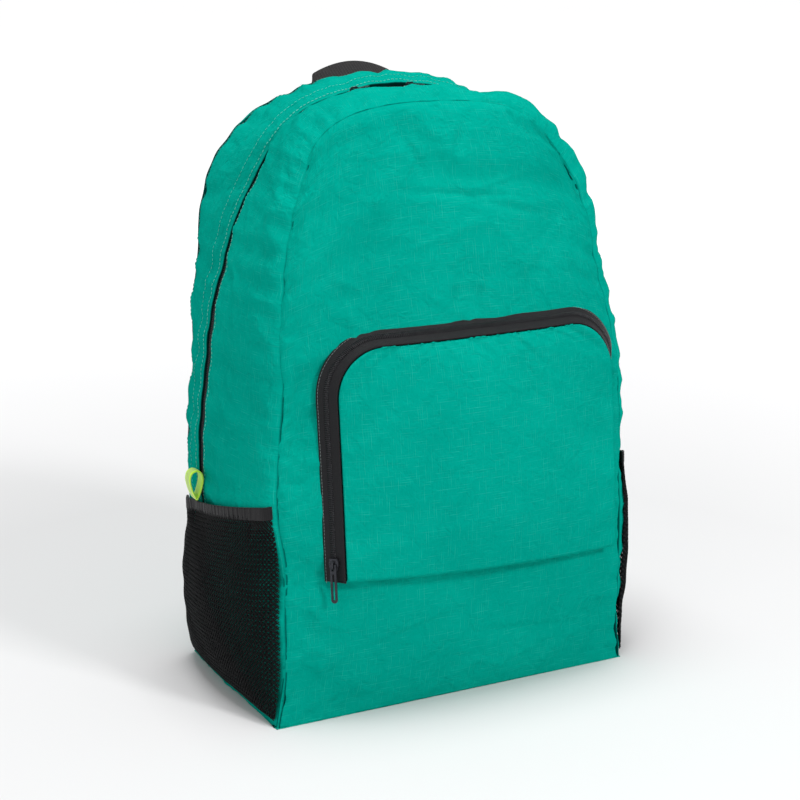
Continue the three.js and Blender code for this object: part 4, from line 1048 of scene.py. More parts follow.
def rumple(x, z, seed, depth, pitch):
    """Sharp low ridges in patches, such as folding leaves in thin nylon."""
    rng = np.random.default_rng(seed)
    total = np.zeros_like(x)
    for step in range(7):
        angle, length = rng.uniform(0, np.pi), pitch * rng.uniform(0.6, 1.7)
        phases = rng.uniform(0, 2 * np.pi, 4)
        along = x * np.cos(angle) + z * np.sin(angle)
        beside = z * np.cos(angle) - x * np.sin(angle)
        bend = 0.3 * length * np.sin(2 * np.pi * beside / (length * 2.3) + phases[0])
        ridge = 1 - 2.4 * np.abs(np.sin(np.pi * (along + bend) / length + phases[1]))
        patch = np.sin(2 * np.pi * beside / (length * 2.9) + phases[2])
        patch = patch * np.sin(2 * np.pi * along / (length * 3.7) + phases[3])
        total = total + np.maximum(ridge, 0) ** 1.2 * smooth(patch, 0.05, 0.7)
    return depth * total


def seam_dip(from_edge):
    """How far a seam pulls the cloth beside it into the bag."""
    return 1.8 * np.exp(-np.maximum(from_edge, 0) / 2.0)


def pattern_area(face):
    """The area in square metres of a panel's smooth surface, as it would be cut."""
    u, v = np.meshgrid(np.linspace(0, 1, 160), np.linspace(0, 1, 60))
    points = face(u, v) * MM
    across, upwards = np.diff(points, axis=1)[:-1], np.diff(points, axis=0)[:, :-1]
    return float(np.linalg.norm(np.cross(across, upwards), axis=-1).sum())


def seam_share(u, v):
    """Which place on the seam each grid point of the front or back panel belongs to."""
    at_sides = np.where(u < 0.5, SHOULDER * v, 1 - SHOULDER * v)
    return np.where(v >= 1, lerp(SHOULDER, 1 - SHOULDER, u), at_sides)


# %% Front panel
front_move = settle("front_panel", front_face, 56, 80, slack=0.02, pressure=0.8, cap=4.0)


def front_cloth(u, v, lift=0.0):
    point = front_face(u, v, lift) + front_move(u, v)
    to_side, to_top = np.minimum(u, 1 - u) * BODY_WIDTH * 0.95, (1 - v) * FRONT_HEIGHT
    sideways = pucker(v * FRONT_HEIGHT + 400 * (u > 0.5), to_side, 3, 1.5, 12, 15)
    upwards = pucker(u * BODY_WIDTH, to_top, 5, 1.2, 13)
    from_band = np.abs(point[..., 0] - (POCKET_SHIFT - POCKET_WIDTH / 2))
    beside = pucker(point[..., 2], from_band, 7, 1.3, 11, 13) * (1 - smooth(point[..., 2], 200, 240))
    over = pucker(point[..., 0], np.abs(point[..., 2] - POCKET_TOP), 9, 0.9, 14, 16)
    within = np.abs(point[..., 0] - POCKET_SHIFT) < POCKET_WIDTH / 2 - POCKET_CORNER
    inwards = seam_dip(np.minimum(to_side, to_top)) - sideways - upwards - beside - over * within
    inwards = inwards - rumple(point[..., 0], point[..., 2], 2, 0.9, 42) * edge_fade(u, v)
    return point + inwards[..., None] * BACK


def make_front():
    u, v = np.meshgrid(close_edges(128), close_edges(204))
    points = front_cloth(u, v)
    uv = np.stack([u * BODY_WIDTH, v * FRONT_HEIGHT], axis=-1)
    share = seam_share(u, v)
    inward = unit(BACK - 0.9 * front_seam.out(share))
    floor_row = v <= 0
    inward = np.where(floor_row[..., None], unit(BACK + 0.02 * UP), inward)
    points, uv, painted_seam_shade = turned_in(points, uv, inward, seams=("left", "right", "high"))
    points[..., 2] = np.maximum(points[..., 2], 0.35)
    return grid_mesh("front_panel_cloth", points, uv, painted_seam_shade)


front_panel = finish_mesh(make_front(), wall=0.7)
dress(front_panel, TEAL_CLOTH, ["front_panel"])
FRONT_CUT = pattern_area(front_face)
print("front panel:", len(front_panel.data.polygons), "faces, cut", round(FRONT_CUT, 4), "square metres")

# %% Side panels
SEAM_RUN = 1180.0  # length of the front seam from foot to foot


def seam_share_run(share):
    return share * SEAM_RUN


def side_width(share, first, second):
    return np.linalg.norm(first(share) - second(share), axis=-1)


side_front_move = settle(
    "side_front", lambda u, v: front_skin(u, v), 170, 18, slack=0.035, pressure=0.6, cap=4.5
)
side_rear_move = settle(
    "side_rear", lambda u, v: rear_skin(u, v), 170, 8, slack=0.03, pressure=0.4, cap=3.0
)


def side_front_cloth(share, back, lift=0.0):
    point = front_skin(share, back, lift) + side_front_move(share, back)
    width = side_width(share, FRONT_SEAM_EDGE[0], FRONT_LIP[0])
    ripple = pucker(seam_share_run(share), back * width, 11, 1.5, 13, 16) - seam_dip(back * width)
    ripple = ripple + pucker(seam_share_run(share), (1 - back) * width, 23, 1.1, 16, 14)
    across = np.sin(np.pi * np.clip(back, 0, 1))
    ripple = ripple + across * rumple(seam_share_run(share), back * width, 19, 1.3, 46)
    out = unit(lerp(front_seam.out(share), zip_seam.out(share), back[..., None]))
    return point + out * ripple[..., None]


def side_rear_cloth(share, back, lift=0.0):
    point = rear_skin(share, back, lift) + side_rear_move(share, back)
    width = side_width(share, REAR_LIP[0], BACK_SEAM_EDGE[0])
    ripple = pucker(seam_share_run(share), back * width, 31, 0.8, 15)
    ripple = ripple + pucker(seam_share_run(share), (1 - back) * width, 41, 1.3, 14)
    ripple = ripple - seam_dip((1 - back) * width)
    across = np.sin(np.pi * np.clip(back, 0, 1))
    ripple = ripple + across * rumple(seam_share_run(share), back * width, 37, 0.9, 40)
    out = unit(lerp(zip_seam.out(share), back_seam.out(share), back[..., None]))
    return point + out * ripple[..., None]


def make_side(name, cloth, first, second, rows, ways, seam):
    """u runs along the seam, v from the panel's first edge to its second."""
    u, v = np.meshgrid(close_edges(540, (0.0006, 0.0015, 0.003)), close_edges(rows, (0.008, 0.03, 0.06)))
    points = cloth(u, v)
    uv = np.stack([seam_share_run(u), v * 104.0], axis=-1)
    outs = lerp(first[1](u), second[1](u), v[..., None])
    inward = np.zeros_like(points)
    inward[0] = unit(ways[0] * BACK - outs[0])
    inward[-1] = unit(ways[1] * BACK - outs[-1])
    inward[1:-1, 0] = unit(np.array([1.0, 0, 0.02]))
    inward[1:-1, -1] = unit(np.array([-1.0, 0, 0.02]))
    points, uv, painted_seam_shade = turned_in(points, uv, inward, seams=(seam,))
    points[..., 2] = np.maximum(points[..., 2], 0.35)
    return grid_mesh(name, points, uv, painted_seam_shade)


side_front = make_side(
    "side_front_cloth", side_front_cloth, FRONT_SEAM_EDGE, FRONT_LIP, 44, (0.9, -0.25), "low"
)
finish_mesh(side_front, wall=0.7)
dress(side_front, TEAL_CLOTH, ["side_front"])
side_rear = make_side(
    "side_rear_cloth", side_rear_cloth, REAR_LIP, BACK_SEAM_EDGE, 20, (0.25, -0.9), "high"
)
finish_mesh(side_rear, wall=0.7)
dress(side_rear, TEAL_CLOTH, ["side_rear"])
SIDE_CUTS = [pattern_area(front_skin), pattern_area(rear_skin)]
print("side cuts in square metres:", [round(area, 4) for area in SIDE_CUTS])
print("side panels:", len(side_front.data.polygons), len(side_rear.data.polygons), "faces")

# %% Back and base
back_move = settle("back_panel", back_face, 48, 70, slack=0.015, pressure=0.6, cap=3.0)


def back_cloth(u, v, lift=0.0):
    point = back_face(u, v, lift) + back_move(u, v)
    to_side, to_top = np.minimum(u, 1 - u) * BODY_WIDTH * 0.95, (1 - v) * BODY_HEIGHT
    ripple = pucker(v * BODY_HEIGHT + 400 * (u > 0.5), to_side, 13, 1.2, 13)
    ripple = ripple + pucker(u * BODY_WIDTH, to_top, 15, 1.0, 13) - seam_dip(np.minimum(to_side, to_top))
    ripple = ripple + rumple(point[..., 0], point[..., 2], 17, 0.9, 45) * edge_fade(u, v)
    return point + ripple[..., None] * BACK


def make_back():
    u, v = np.meshgrid(close_edges(90), close_edges(130))
    points = back_cloth(u, v)
    uv = np.stack([u * BODY_WIDTH, v * BODY_HEIGHT], axis=-1)
    share = seam_share(u, v)
    inward = unit(-BACK - 0.9 * back_seam.out(1 - share))
    inward = np.where((v <= 0)[..., None], unit(-BACK + 0.02 * UP), inward)
    points, uv, painted_seam_shade = turned_in(points, uv, inward, seams=("left", "right", "high"))
    points[..., 2] = np.maximum(points[..., 2], 0.35)
    return grid_mesh("back_panel_cloth", points, uv, painted_seam_shade)


back_panel = finish_mesh(make_back(), wall=0.7)
dress(back_panel, TEAL_CLOTH, ["back_panel"])


def make_base():
    """One flat panel whose edges meet the four foot edges, sagging inwards a little."""
    u, v = np.meshgrid(close_edges(60), close_edges(36))
    start, end = np.zeros_like(u), np.ones_like(u)
    front = lerp(front_seam.at(start), front_seam.at(end), u[..., None])
    rear = lerp(back_seam.at(start), back_seam.at(end), u[..., None])
    points = lerp(rear, front, v[..., None])
    dome = np.sin(np.pi * u) ** 0.5 * np.sin(np.pi * v) ** 0.5
    points[..., 2] = 0.05 + 1.1 * dome
    uv = np.stack([u * BODY_WIDTH, v * BASE_DEPTH], axis=-1)
    return grid_mesh("base_panel_cloth", points, uv)


base_panel = finish_mesh(make_base(), wall=0.7)
dress(base_panel, TEAL_CLOTH, ["base_panel"])
BACK_CUT = pattern_area(back_face)
print("back cut in square metres:", round(BACK_CUT, 4))
print("back and base:", len(back_panel.data.polygons), len(base_panel.data.polygons), "faces")

# %% [markdown]
# ## Strips: webbing, hems and straps
# Webbing has a flat section with rounded edges. One function sweeps that section along
# rows of middle points, width vectors and outward directions, and gives it a UV map in
# metres, so that the weave runs along the strip wherever it bends.


# %% A swept strip
def strip_mesh(name, middle, across, out, wall, sided=False, around=14, power=0.35):
    """middle, across (full width) and out are arrays of rows in millimetres."""
    angle = np.linspace(0, 2 * np.pi, around, endpoint=False)
    wide = np.sign(np.cos(angle)) * np.abs(np.cos(angle)) ** power / 2
    thick = np.sign(np.sin(angle)) * np.abs(np.sin(angle)) ** power / 2
    wall = np.broadcast_to(wall, (len(middle),))[:, None, None]
    points = middle[:, None] + across[:, None] * wide[None, :, None]
    points = points + out[:, None] * thick[None, :, None] * wall
    run = np.concatenate([[0], np.cumsum(np.linalg.norm(np.diff(middle, axis=0), axis=1))])
    width = np.linalg.norm(across, axis=1)
    side = wide[None, :] * width[:, None]
    if sided:
        side = np.where(np.sin(angle)[None, :] > -0.2, 1, -1) * (np.abs(side) + 0.5)
    uv = np.stack([side, np.broadcast_to(run[:, None], side.shape)], axis=-1)
    closed = np.concatenate([points, points[:, :1]], axis=1)
    closed_uv = np.concatenate([uv, uv[:, :1]], axis=1)
    piece = grid_mesh(name, closed, closed_uv)
    return cap_ends(piece, around + 1)


def cap_ends(piece, columns):
    """Merges the strip's long joint and fills its two ends, with faces pointing out."""
    work = bmesh.new()
    work.from_mesh(piece.data)
    bmesh.ops.remove_doubles(work, verts=work.verts, dist=1e-6)
    open_edges = [edge for edge in work.edges if edge.is_boundary]
    bmesh.ops.holes_fill(work, edges=open_edges, sides=columns + 2)
    bmesh.ops.recalc_face_normals(work, faces=work.faces)
    work.to_mesh(piece.data)
    work.free()
    return piece


def even_rows(points, count):
    """count rows at even distance along a smooth curve through points."""
    curve = smooth_curve(points)
    dense = curve(np.linspace(0, 1, 600))
    run = np.concatenate([[0], np.cumsum(np.linalg.norm(np.diff(dense, axis=0), axis=1))])
    share = np.interp(np.linspace(0, run[-1], count), run, np.linspace(0, 1, 600))
    return share, curve(share)


# %% A rounded copy of a hard solid
def rounded_copy(node, name, radius, segments=2):
    """The CAD solid with its sharp edges rounded, for sliders, pulls and buckles."""
    source = bpy.data.objects[node]
    work = bmesh.new()
    work.from_mesh(source.data)
    bmesh.ops.remove_doubles(work, verts=work.verts, dist=1e-6)
    mesh = bpy.data.meshes.new(name)
    work.to_mesh(mesh)
    work.free()
    piece = new_object(name, mesh)
    edge = piece.modifiers.new("edge", "BEVEL")
    edge.width, edge.segments, edge.limit_method = radius * MM, segments, "ANGLE"
    edge.angle_limit = math.radians(25)
    finish_mesh(piece)
    piece.data.polygons.foreach_set("use_smooth", np.ones(len(piece.data.polygons), bool))
    flat = piece.modifiers.new("shade", "WEIGHTED_NORMAL")
    flat.keep_sharp = True
    return finish_mesh(piece)


# %% [markdown]
# ## Threads and coils
# A zip's coil is one nylon thread wound in a long flat helix, and a net is many threads
# that cross. Both are lines first, and Geometry Nodes give the lines their round section.


# %% Geometry Nodes: a thread along every line
def build_thread_tree():
    tree = bpy.data.node_groups.new("thread_on_lines", "GeometryNodeTree")
    tree.interface.new_socket("Geometry", in_out="INPUT", socket_type="NodeSocketGeometry")
    tree.interface.new_socket("Radius", in_out="INPUT", socket_type="NodeSocketFloat")
    tree.interface.new_socket("Sides", in_out="INPUT", socket_type="NodeSocketInt")
    tree.interface.new_socket("Material", in_out="INPUT", socket_type="NodeSocketMaterial")
    tree.interface.new_socket("Geometry", in_out="OUTPUT", socket_type="NodeSocketGeometry")
    start, end = tree.nodes.new("NodeGroupInput"), tree.nodes.new("NodeGroupOutput")
    line = wire(tree, "GeometryNodeMeshToCurve", {"Mesh": start.outputs["Geometry"]})
    section = wire(
        tree,
        "GeometryNodeCurvePrimitiveCircle",
        {"Resolution": start.outputs["Sides"], "Radius": start.outputs["Radius"]},
    )
    tube = wire(
        tree,
        "GeometryNodeCurveToMesh",
        {"Curve": line.outputs[0], "Profile Curve": section.outputs[0], "Fill Caps": True},
    )
    real = wire(tree, "GeometryNodeRealizeInstances", {0: tube.outputs[0]})
    soft = wire(tree, "GeometryNodeSetShadeSmooth", {0: real.outputs[0]})
    finish = {"Geometry": soft.outputs[0], "Material": start.outputs["Material"]}
    painted = wire(tree, "GeometryNodeSetMaterial", finish)
    tree.links.new(painted.outputs[0], end.inputs[0])
    return tree


THREAD_TREE = build_thread_tree()


def threads(name, runs, radius, sides, material):
    piece = line_object(name, runs)
    return through_tree(piece, THREAD_TREE, {"Radius": radius * MM, "Sides": sides, "Material": material})


def coil_run(middle, across, out, pitch, half_width, half_height, points_per_turn=7):
    """A flat helix along rows of middle points, in millimetres."""
    run = np.concatenate([[0], np.cumsum(np.linalg.norm(np.diff(middle, axis=0), axis=1))])
    count = int(run[-1] / pitch * points_per_turn)
    at = np.linspace(0, run[-1], count)

    def sampled(rows):
        return np.stack([np.interp(at, run, rows[:, k]) for k in range(3)], axis=1)

    angle = at / pitch * 2 * np.pi
    sideways = np.clip(1.35 * np.cos(angle), -1, 1)[:, None] * half_width
    upwards = np.clip(1.35 * np.sin(angle), -1, 1)[:, None] * half_height
    return sampled(middle) + unit(sampled(across)) * sideways + unit(sampled(out)) * upwards


# %% [markdown]
# ## The main zip
# Black tape lies under both cloth lips and carries the coil in a groove. Between the two
# sliders the zip stands open, and each tape edge draws back with its own half of the coil.

# %% Main zip places
dense_share = np.linspace(0, 1, 4001)
dense_zip = zip_seam.at(dense_share)
first_half = dense_share < 0.4
ZIP_START = float(np.interp(ZIP_END_HEIGHT, dense_zip[first_half, 2], dense_share[first_half]))
COIL_START = float(np.interp(ZIP_END_HEIGHT + 13.5, dense_zip[first_half, 2], dense_share[first_half]))
over_top = (dense_share > 0.3) & (dense_share < 0.7)


def share_at_x(x):
    return float(np.interp(x, dense_zip[over_top, 0], dense_share[over_top]))


LEFT_SLIDER, RIGHT_SLIDER = share_at_x(LEFT_SLIDER_X), share_at_x(RIGHT_SLIDER_X)
SLIDER_HALF = 4.8
print("zip runs from share", round(ZIP_START, 4))
print("sliders at shares", round(LEFT_SLIDER, 4), round(RIGHT_SLIDER, 4))
TAPE_LIFT = -CLOTH - REST_GAP


def zip_point(share, beside, lift):
    point = zip_seam.at(share) + np.asarray(beside)[..., None] * BACK
    return point + zip_seam.out(share) * np.asarray(lift)[..., None]


def slit_half(share):
    t = np.clip((share - LEFT_SLIDER) / (RIGHT_SLIDER - LEFT_SLIDER), 0, 1)
    return REST_GAP / 2 + SLIT_HALF_WIDTH * np.sin(np.pi * t) ** 0.5


def tape_point(side, share, v):
    """v runs from the hidden edge under the cloth (0) by the lip (0.5) to the slit (1)."""
    gap = lip_half_gap(zip_seam.at(share))
    bare_across = lerp(gap, slit_half(share), np.clip(2 * v - 1, 0, 1))
    bare = zip_point(share, side * bare_across, TAPE_LIFT + 0 * share)
    hidden = np.clip(1 - 2 * v, 0, 1)
    lift = TAPE_LIFT - TAPE_SINK * hidden
    if side < 0:
        width = side_width(share, FRONT_SEAM_EDGE[0], FRONT_LIP[0])
        covered = front_skin(share, 1 - hidden * (TAPE_WIDTH - gap) / width, lift)
    else:
        width = side_width(share, REAR_LIP[0], BACK_SEAM_EDGE[0])
        covered = rear_skin(share, hidden * (TAPE_WIDTH - gap) / width, lift)
    return np.where((v < 0.5)[..., None], covered, bare)


# %% Main zip tapes
for side, half in ((-1, "front"), (1, "rear")):
    u, v = np.meshgrid(np.linspace(ZIP_START, 1 - ZIP_START, 520), np.linspace(0, 1, 9))
    v = v if side < 0 else 1 - v
    uv = np.stack([v * TAPE_WIDTH, u * SEAM_RUN], axis=-1)
    tape = grid_mesh(f"main_zip_tape_{half}_woven", tape_point(side, u, v), uv)
    finish_mesh(tape, wall=0.8)
    dress(tape, ZIP_TAPE, [f"main_zip_tape_{half}"])

# %% Main zip coil
COIL_PITCH = 1.3


def zip_rows(start, end, beside, lift):
    share = np.linspace(start, end, 500)
    rows = zip_point(share, beside(share), lift + 0 * share)
    return rows, np.broadcast_to(BACK, rows.shape), zip_seam.out(share)


SLIDER_SHARE = SLIDER_HALF / SEAM_RUN
coil_lift = TAPE_LIFT + REST_GAP + 0.65
for half, start, end in (
    ("left", COIL_START, LEFT_SLIDER - SLIDER_SHARE),
    ("right", RIGHT_SLIDER + SLIDER_SHARE, 1 - COIL_START),
):
    runs = [coil_run(*zip_rows(start, end, lambda s: 0 * s, coil_lift), COIL_PITCH, 1.45, 0.42)]
    if half == "left":
        for side in (-1, 1):
            open_rows = zip_rows(
                LEFT_SLIDER + SLIDER_SHARE, RIGHT_SLIDER - SLIDER_SHARE,
                lambda s, side=side: side * (slit_half(s) + 0.7), coil_lift,
            )
            runs.append(coil_run(*open_rows, COIL_PITCH, 0.8, 0.42))
    coil = threads(f"main_zip_coil_{half}_teeth", runs, 0.3, 4, ZIP_COIL)
    dress(coil, ZIP_COIL, [f"main_zip_coil_{half}"])
    print(coil.name, len(coil.data.polygons), "faces")

# %% Sliders and pulls
for zip_name in ("main_left", "main_right", "pocket"):
    slider = rounded_copy(f"{zip_name}_slider", f"{zip_name}_slider_cast", 0.28)
    dress(slider, ZIP_METAL, [f"{zip_name}_slider"])
    pull = rounded_copy(f"{zip_name}_pull", f"{zip_name}_pull_cast", 0.22)
    dress(pull, ZIP_METAL, [f"{zip_name}_pull"], body=f"{zip_name}_pull_body")
print("sliders and pulls: 3 each")

# %% [markdown]
# ## The front pocket
# The pocket's cloth stands off the front panel on a wide zip band, and its lower edge
# hangs over as a soft fold. The band is a sheet between a raised inner arch and an outer
# arch on the panel.

# %% Pocket sizes
SIDE_STEPS, CORNER_STEPS, TOP_STEPS = 6, 5, 8
POCKET_STATIONS = 2 * (SIDE_STEPS + CORNER_STEPS) + TOP_STEPS
POCKET_FOLDS = (
    # x, z, angle, length, width, depth
    (-0.45, 0.8, 30, 0.16, 0.035, 0.25),
    (0.25, 0.86, -70, 0.1, 0.03, 0.3),
    (0.62, 0.3, -35, 0.2, 0.04, 0.25),
    (-0.3, 0.16, 8, 0.3, 0.035, -0.22),
    (0.12, 0.9, -82, 0.05, 0.009, 0.2),
    (0.3, 0.88, -60, 0.06, 0.009, 0.18),
    (-0.62, 0.62, 55, 0.07, 0.009, 0.12),
    (-0.5, 0.12, 10, 0.1, 0.008, 0.16),
    (0.55, 0.2, -22, 0.12, 0.009, 0.14),
    (0.78, 0.42, -50, 0.08, 0.009, 0.14),
)


def pocket_outline(station, inset):
    half, top, radius = POCKET_WIDTH / 2 - inset, POCKET_TOP - inset, POCKET_CORNER - inset
    s = np.minimum(station, POCKET_STATIONS - station)
    turn = np.pi / 2 * np.clip((s - SIDE_STEPS) / CORNER_STEPS, 0, 1)
    x = -half + radius * (1 - np.cos(turn))
    z = np.where(
        s < SIDE_STEPS, lerp(POCKET_BOTTOM, top - radius, s / SIDE_STEPS), top - radius * (1 - np.sin(turn))
    )
    past = np.clip((s - SIDE_STEPS - CORNER_STEPS) / (TOP_STEPS / 2), 0, 1)
    x = np.where(past > 0, (radius - half) * (1 - past), x)
    x = np.where(station > POCKET_STATIONS / 2, -x, x)
    return x + POCKET_SHIFT, z


def y_on(face, x, z):
    """A face's y at a place, found by walking over its own surface."""
    u, v = np.full_like(x, 0.5), np.clip(z / BODY_HEIGHT, 0, 0.98)
    step = 0.01
    for _ in range(9):
        here = face(u, v)
        du = face(u + step, v)[..., 0] - here[..., 0]
        dv = face(u, v + step)[..., 2] - here[..., 2]
        u = np.clip(u + (x - here[..., 0]) / du * step, 0, 0.98)
        v = np.clip(v + (z - here[..., 2]) / dv * step, 0, 0.98)
    return face(u, v)[..., 1]


def plain_front(u, v):
    return front_face(u, v, creases=False)


def pocket_base_y(x, z):
    near = BODY_WIDTH * 0.03
    places = ((0, 0), (near, 0), (-near, 0), (0, near), (0, -near))
    return np.min([y_on(plain_front, x + dx, z + dz) for dx, dz in places], axis=0)


# %% Pocket zip band
def right_low(x, z):
    """One along the pocket's lower right edge, where the cloth hides the band."""
    beyond = smooth((x - POCKET_SHIFT) / (POCKET_WIDTH / 2), 0.7, 0.95)
    return beyond * (1 - smooth(z, POCKET_TOP - 62, POCKET_TOP - 26))


def band_edges(station):
    inner_x, inner_z = pocket_outline(station, POCKET_TAPE)
    outer_x, outer_z = pocket_outline(station, 0)
    outer_x = outer_x - 9 * right_low(outer_x, outer_z)
    inner = np.stack([inner_x, pocket_base_y(inner_x, inner_z) - POCKET_RISE - TAPE_WALL, inner_z], axis=-1)
    outer = np.stack([outer_x, pocket_base_y(outer_x, outer_z) - TAPE_WALL - REST_GAP, outer_z], axis=-1)
    return inner, outer


band_station = np.linspace(0, POCKET_STATIONS, 360)
band_inner, band_outer = band_edges(band_station)
share_across = np.linspace(0, 1, 11)[:, None, None]
band_points = lerp(band_inner[None], band_outer[None], share_across)
band_run = np.concatenate([[0], np.cumsum(np.linalg.norm(np.diff(band_outer, axis=0), axis=1))])
dip = np.sin(np.pi * share_across) * 0.7
band_points = band_points + dip * BACK
across_mm = np.broadcast_to(share_across[..., 0] * POCKET_TAPE, band_points.shape[:2])
band_uv = np.stack([across_mm, np.broadcast_to(band_run, across_mm.shape)], axis=-1)
band = grid_mesh("pocket_zip_tape_woven", band_points[::-1], band_uv[::-1])
finish_mesh(band, wall=0.8)
dress(band, ZIP_TAPE, ["pocket_zip_tape"])
print("pocket zip band, mm along its outer edge:", round(float(band_run[-1])))

# %% Pocket coil
POCKET_SLIDER_HEIGHT = 116.0
side_length = POCKET_TOP - POCKET_CORNER - POCKET_BOTTOM
slider_station = (POCKET_SLIDER_HEIGHT - POCKET_BOTTOM) / side_length * SIDE_STEPS
clear_station = SLIDER_HALF / side_length * SIDE_STEPS
coil_station = np.linspace(slider_station + clear_station, POCKET_STATIONS, 700)
coil_inner, coil_outer = band_edges(coil_station)
coil_across = unit(coil_outer - coil_inner)
coil_along = unit(np.gradient(coil_inner, axis=0))
coil_out = unit(np.cross(coil_along, coil_across))
coil_middle = lerp(coil_inner, coil_outer, 0.5) + 0.7 * BACK + coil_out * 1.05
pocket_coil = threads(
    "pocket_zip_coil_teeth",
    [coil_run(coil_middle, coil_across, coil_out, COIL_PITCH, 1.5, 0.42)],
    0.3, 4, ZIP_COIL,
)
dress(pocket_coil, ZIP_COIL, ["pocket_zip_coil"])

# %% Pocket cloth
ROLL_OUT = (0.0, 0.3, 0.55, 0.8, 0.95, 1.0)
ROLL_DOWN = (-0.15, 0.22, 0.36, 0.32, 0.12, 0.0)
POCKET_ROWS = SIDE_STEPS + CORNER_STEPS


def pocket_face(u, station, rolled=1.0, extra=0.0):
    """station counts the arch's rows upwards from the lower edge."""
    left_x, z = pocket_outline(station, POCKET_TAPE + REST_GAP)
    right_x = 2 * POCKET_SHIFT - left_x
    x = lerp(left_x, right_x, u)
    overhang = 2.5 * right_low(x, z)
    half, height = POCKET_WIDTH / 2 - POCKET_TAPE - REST_GAP, POCKET_TOP - POCKET_BOTTOM
    rise = np.clip((z - POCKET_BOTTOM) / (height - POCKET_TAPE), 0, 1)
    crown = np.sin(np.pi * np.clip(u, 0, 1)) ** 0.6 * np.sin(np.pi * lerp(0.22, 1, rise)) ** 0.6
    fold = fold_depth(POCKET_FOLDS, x - POCKET_SHIFT, z - POCKET_BOTTOM, half, height, POCKET_WIDTH)
    fade = np.sin(np.pi * np.clip(u, 0, 1)) ** 0.5 * np.sin(np.pi * rise) ** 0.5
    stand = POCKET_RISE + CLOTH + POCKET_CROWN * (crown - fade * fold)
    tilt = lerp(3.5, -6.0, u) * np.exp(-(z - POCKET_BOTTOM) / 22)
    y = pocket_base_y(x, z) - REST_GAP - stand * rolled
    return np.stack([x + overhang, y, z + tilt - extra], axis=-1)


pocket_move = settle(
    "pocket",
    lambda u, v: pocket_face(u, v * POCKET_ROWS),
    60, 44, slack=0.016, pressure=0.8, cap=3.0,
)


def pocket_cloth(u, station, rolled=1.0, extra=0.0, lift=0.0):
    moved = pocket_move(u, station / POCKET_ROWS) * np.asarray(rolled)[..., None]
    point = pocket_face(u, station, rolled, extra) + moved - lift * BACK
    half = POCKET_WIDTH / 2 - POCKET_TAPE
    _, z = pocket_outline(station, POCKET_TAPE)
    edge = np.minimum(np.minimum(u, 1 - u) * 2 * half, POCKET_TOP - POCKET_TAPE - z)
    run = z + u * POCKET_WIDTH
    ripple = pucker(run, edge, 57, 0.9, 12) + pucker(u * POCKET_WIDTH, z - POCKET_BOTTOM, 63, 0.8, 15)
    ripple = ripple + rumple(u * POCKET_WIDTH, z, 59, 0.55, 44) * smooth(edge, 0, 12)
    return point - ripple[..., None] * BACK


def make_pocket():
    columns = close_edges(104, (0.006, 0.014, 0.028))
    roll = np.linspace(0, 1, 9)[:-1]
    out = np.interp(roll, np.linspace(0, 1, len(ROLL_OUT)), ROLL_OUT)
    down = np.interp(roll, np.linspace(0, 1, len(ROLL_DOWN)), ROLL_DOWN) * POCKET_RISE
    height = np.concatenate([[0, 0.07, 0.18], np.linspace(0.35, POCKET_ROWS, 84)])
    station = np.concatenate([np.zeros(len(roll)), height])
    rolled = np.concatenate([out, np.ones(len(height))])
    extra = np.concatenate([down, np.zeros(len(height))])
    u, s = np.meshgrid(columns, station)
    _, r = np.meshgrid(columns, rolled)
    _, e = np.meshgrid(columns, extra)
    points = pocket_cloth(u, s, r, e)
    run = np.cumsum(np.concatenate([[0], np.linalg.norm(np.diff(points[:, 50], axis=0), axis=1)]))
    uv = np.stack([points[..., 0], np.broadcast_to(run[:, None], u.shape)], axis=-1)
    inward = np.broadcast_to(BACK, points.shape).copy()
    inward[:, 0] = unit(BACK + np.array([0.35, 0, 0]))
    inward[:, -1] = unit(BACK - np.array([0.35, 0, 0]))
    inward[-1] = unit(BACK - 0.35 * UP)
    points, uv, painted_seam_shade = turned_in(points, uv, inward, depths=(0.8, 3.0), sides=("left", "right", "high"))
    return grid_mesh("pocket_panel_cloth", points, uv, painted_seam_shade)


pocket_panel = finish_mesh(make_pocket(), wall=0.7)
dress(pocket_panel, TEAL_CLOTH, ["pocket_panel"])
POCKET_CUT = pattern_area(lambda u, v: pocket_face(u, v * POCKET_ROWS))
print("pocket cut in square metres:", round(POCKET_CUT, 4))
print("pocket cloth:", len(pocket_panel.data.polygons), "faces")

# %% [markdown]
# ## Net side pockets
# Each side pocket is a stretched double net of black thread under an elastic hem. The
# threads run in two slanting families that pass over and under each other, so that the
# cloth shows through only as dark green between them.

# %% Net surface
MESH_FRONT_HEIGHT, MESH_BACK_HEIGHT, MESH_FOOT = 158.0, 124.0, 5.0
MESH_BULGE, HEM_SLACK, HEM_WALL = 15.0, 6.0, 1.8
NET_EDGE = 0.012


def side_share(z, side):
    share = z / FRONT_HEIGHT / SEAM["rise"][1] / (2 * ROW_COUNT)
    return share if side < 0 else 1 - share


def hem_top(depth):
    return lerp(MESH_FRONT_HEIGHT, MESH_BACK_HEIGHT, depth)


def hem_slack(depth):
    return HEM_SLACK * np.sin(np.pi * np.clip(depth, 0, 1))


def over_cloth(skin, cloth, out_at, share, back, lift):
    """A point at its own height above the plain skin, but never below the rumpled cloth."""
    low = cloth(share, back, 0.8 + 0 * lift)
    out = out_at(share)
    above = np.sum((skin(share, back, lift) - low) * out, axis=-1)
    return low + out * np.maximum(above, 0.1)[..., None]


def side_skin(share, depth, lift):
    """The whole side from front seam (0) to back seam (1), as the net pockets cover it."""
    split = 0.75
    near_share, far_share = np.minimum(depth / split, 1), np.maximum((depth - split) / (1 - split), 0)
    near = over_cloth(front_skin, side_front_cloth, zip_seam.out, share, near_share, lift)
    far = over_cloth(rear_skin, side_rear_cloth, zip_seam.out, share, far_share, lift)
    return np.where((depth < split)[..., None], near, far)


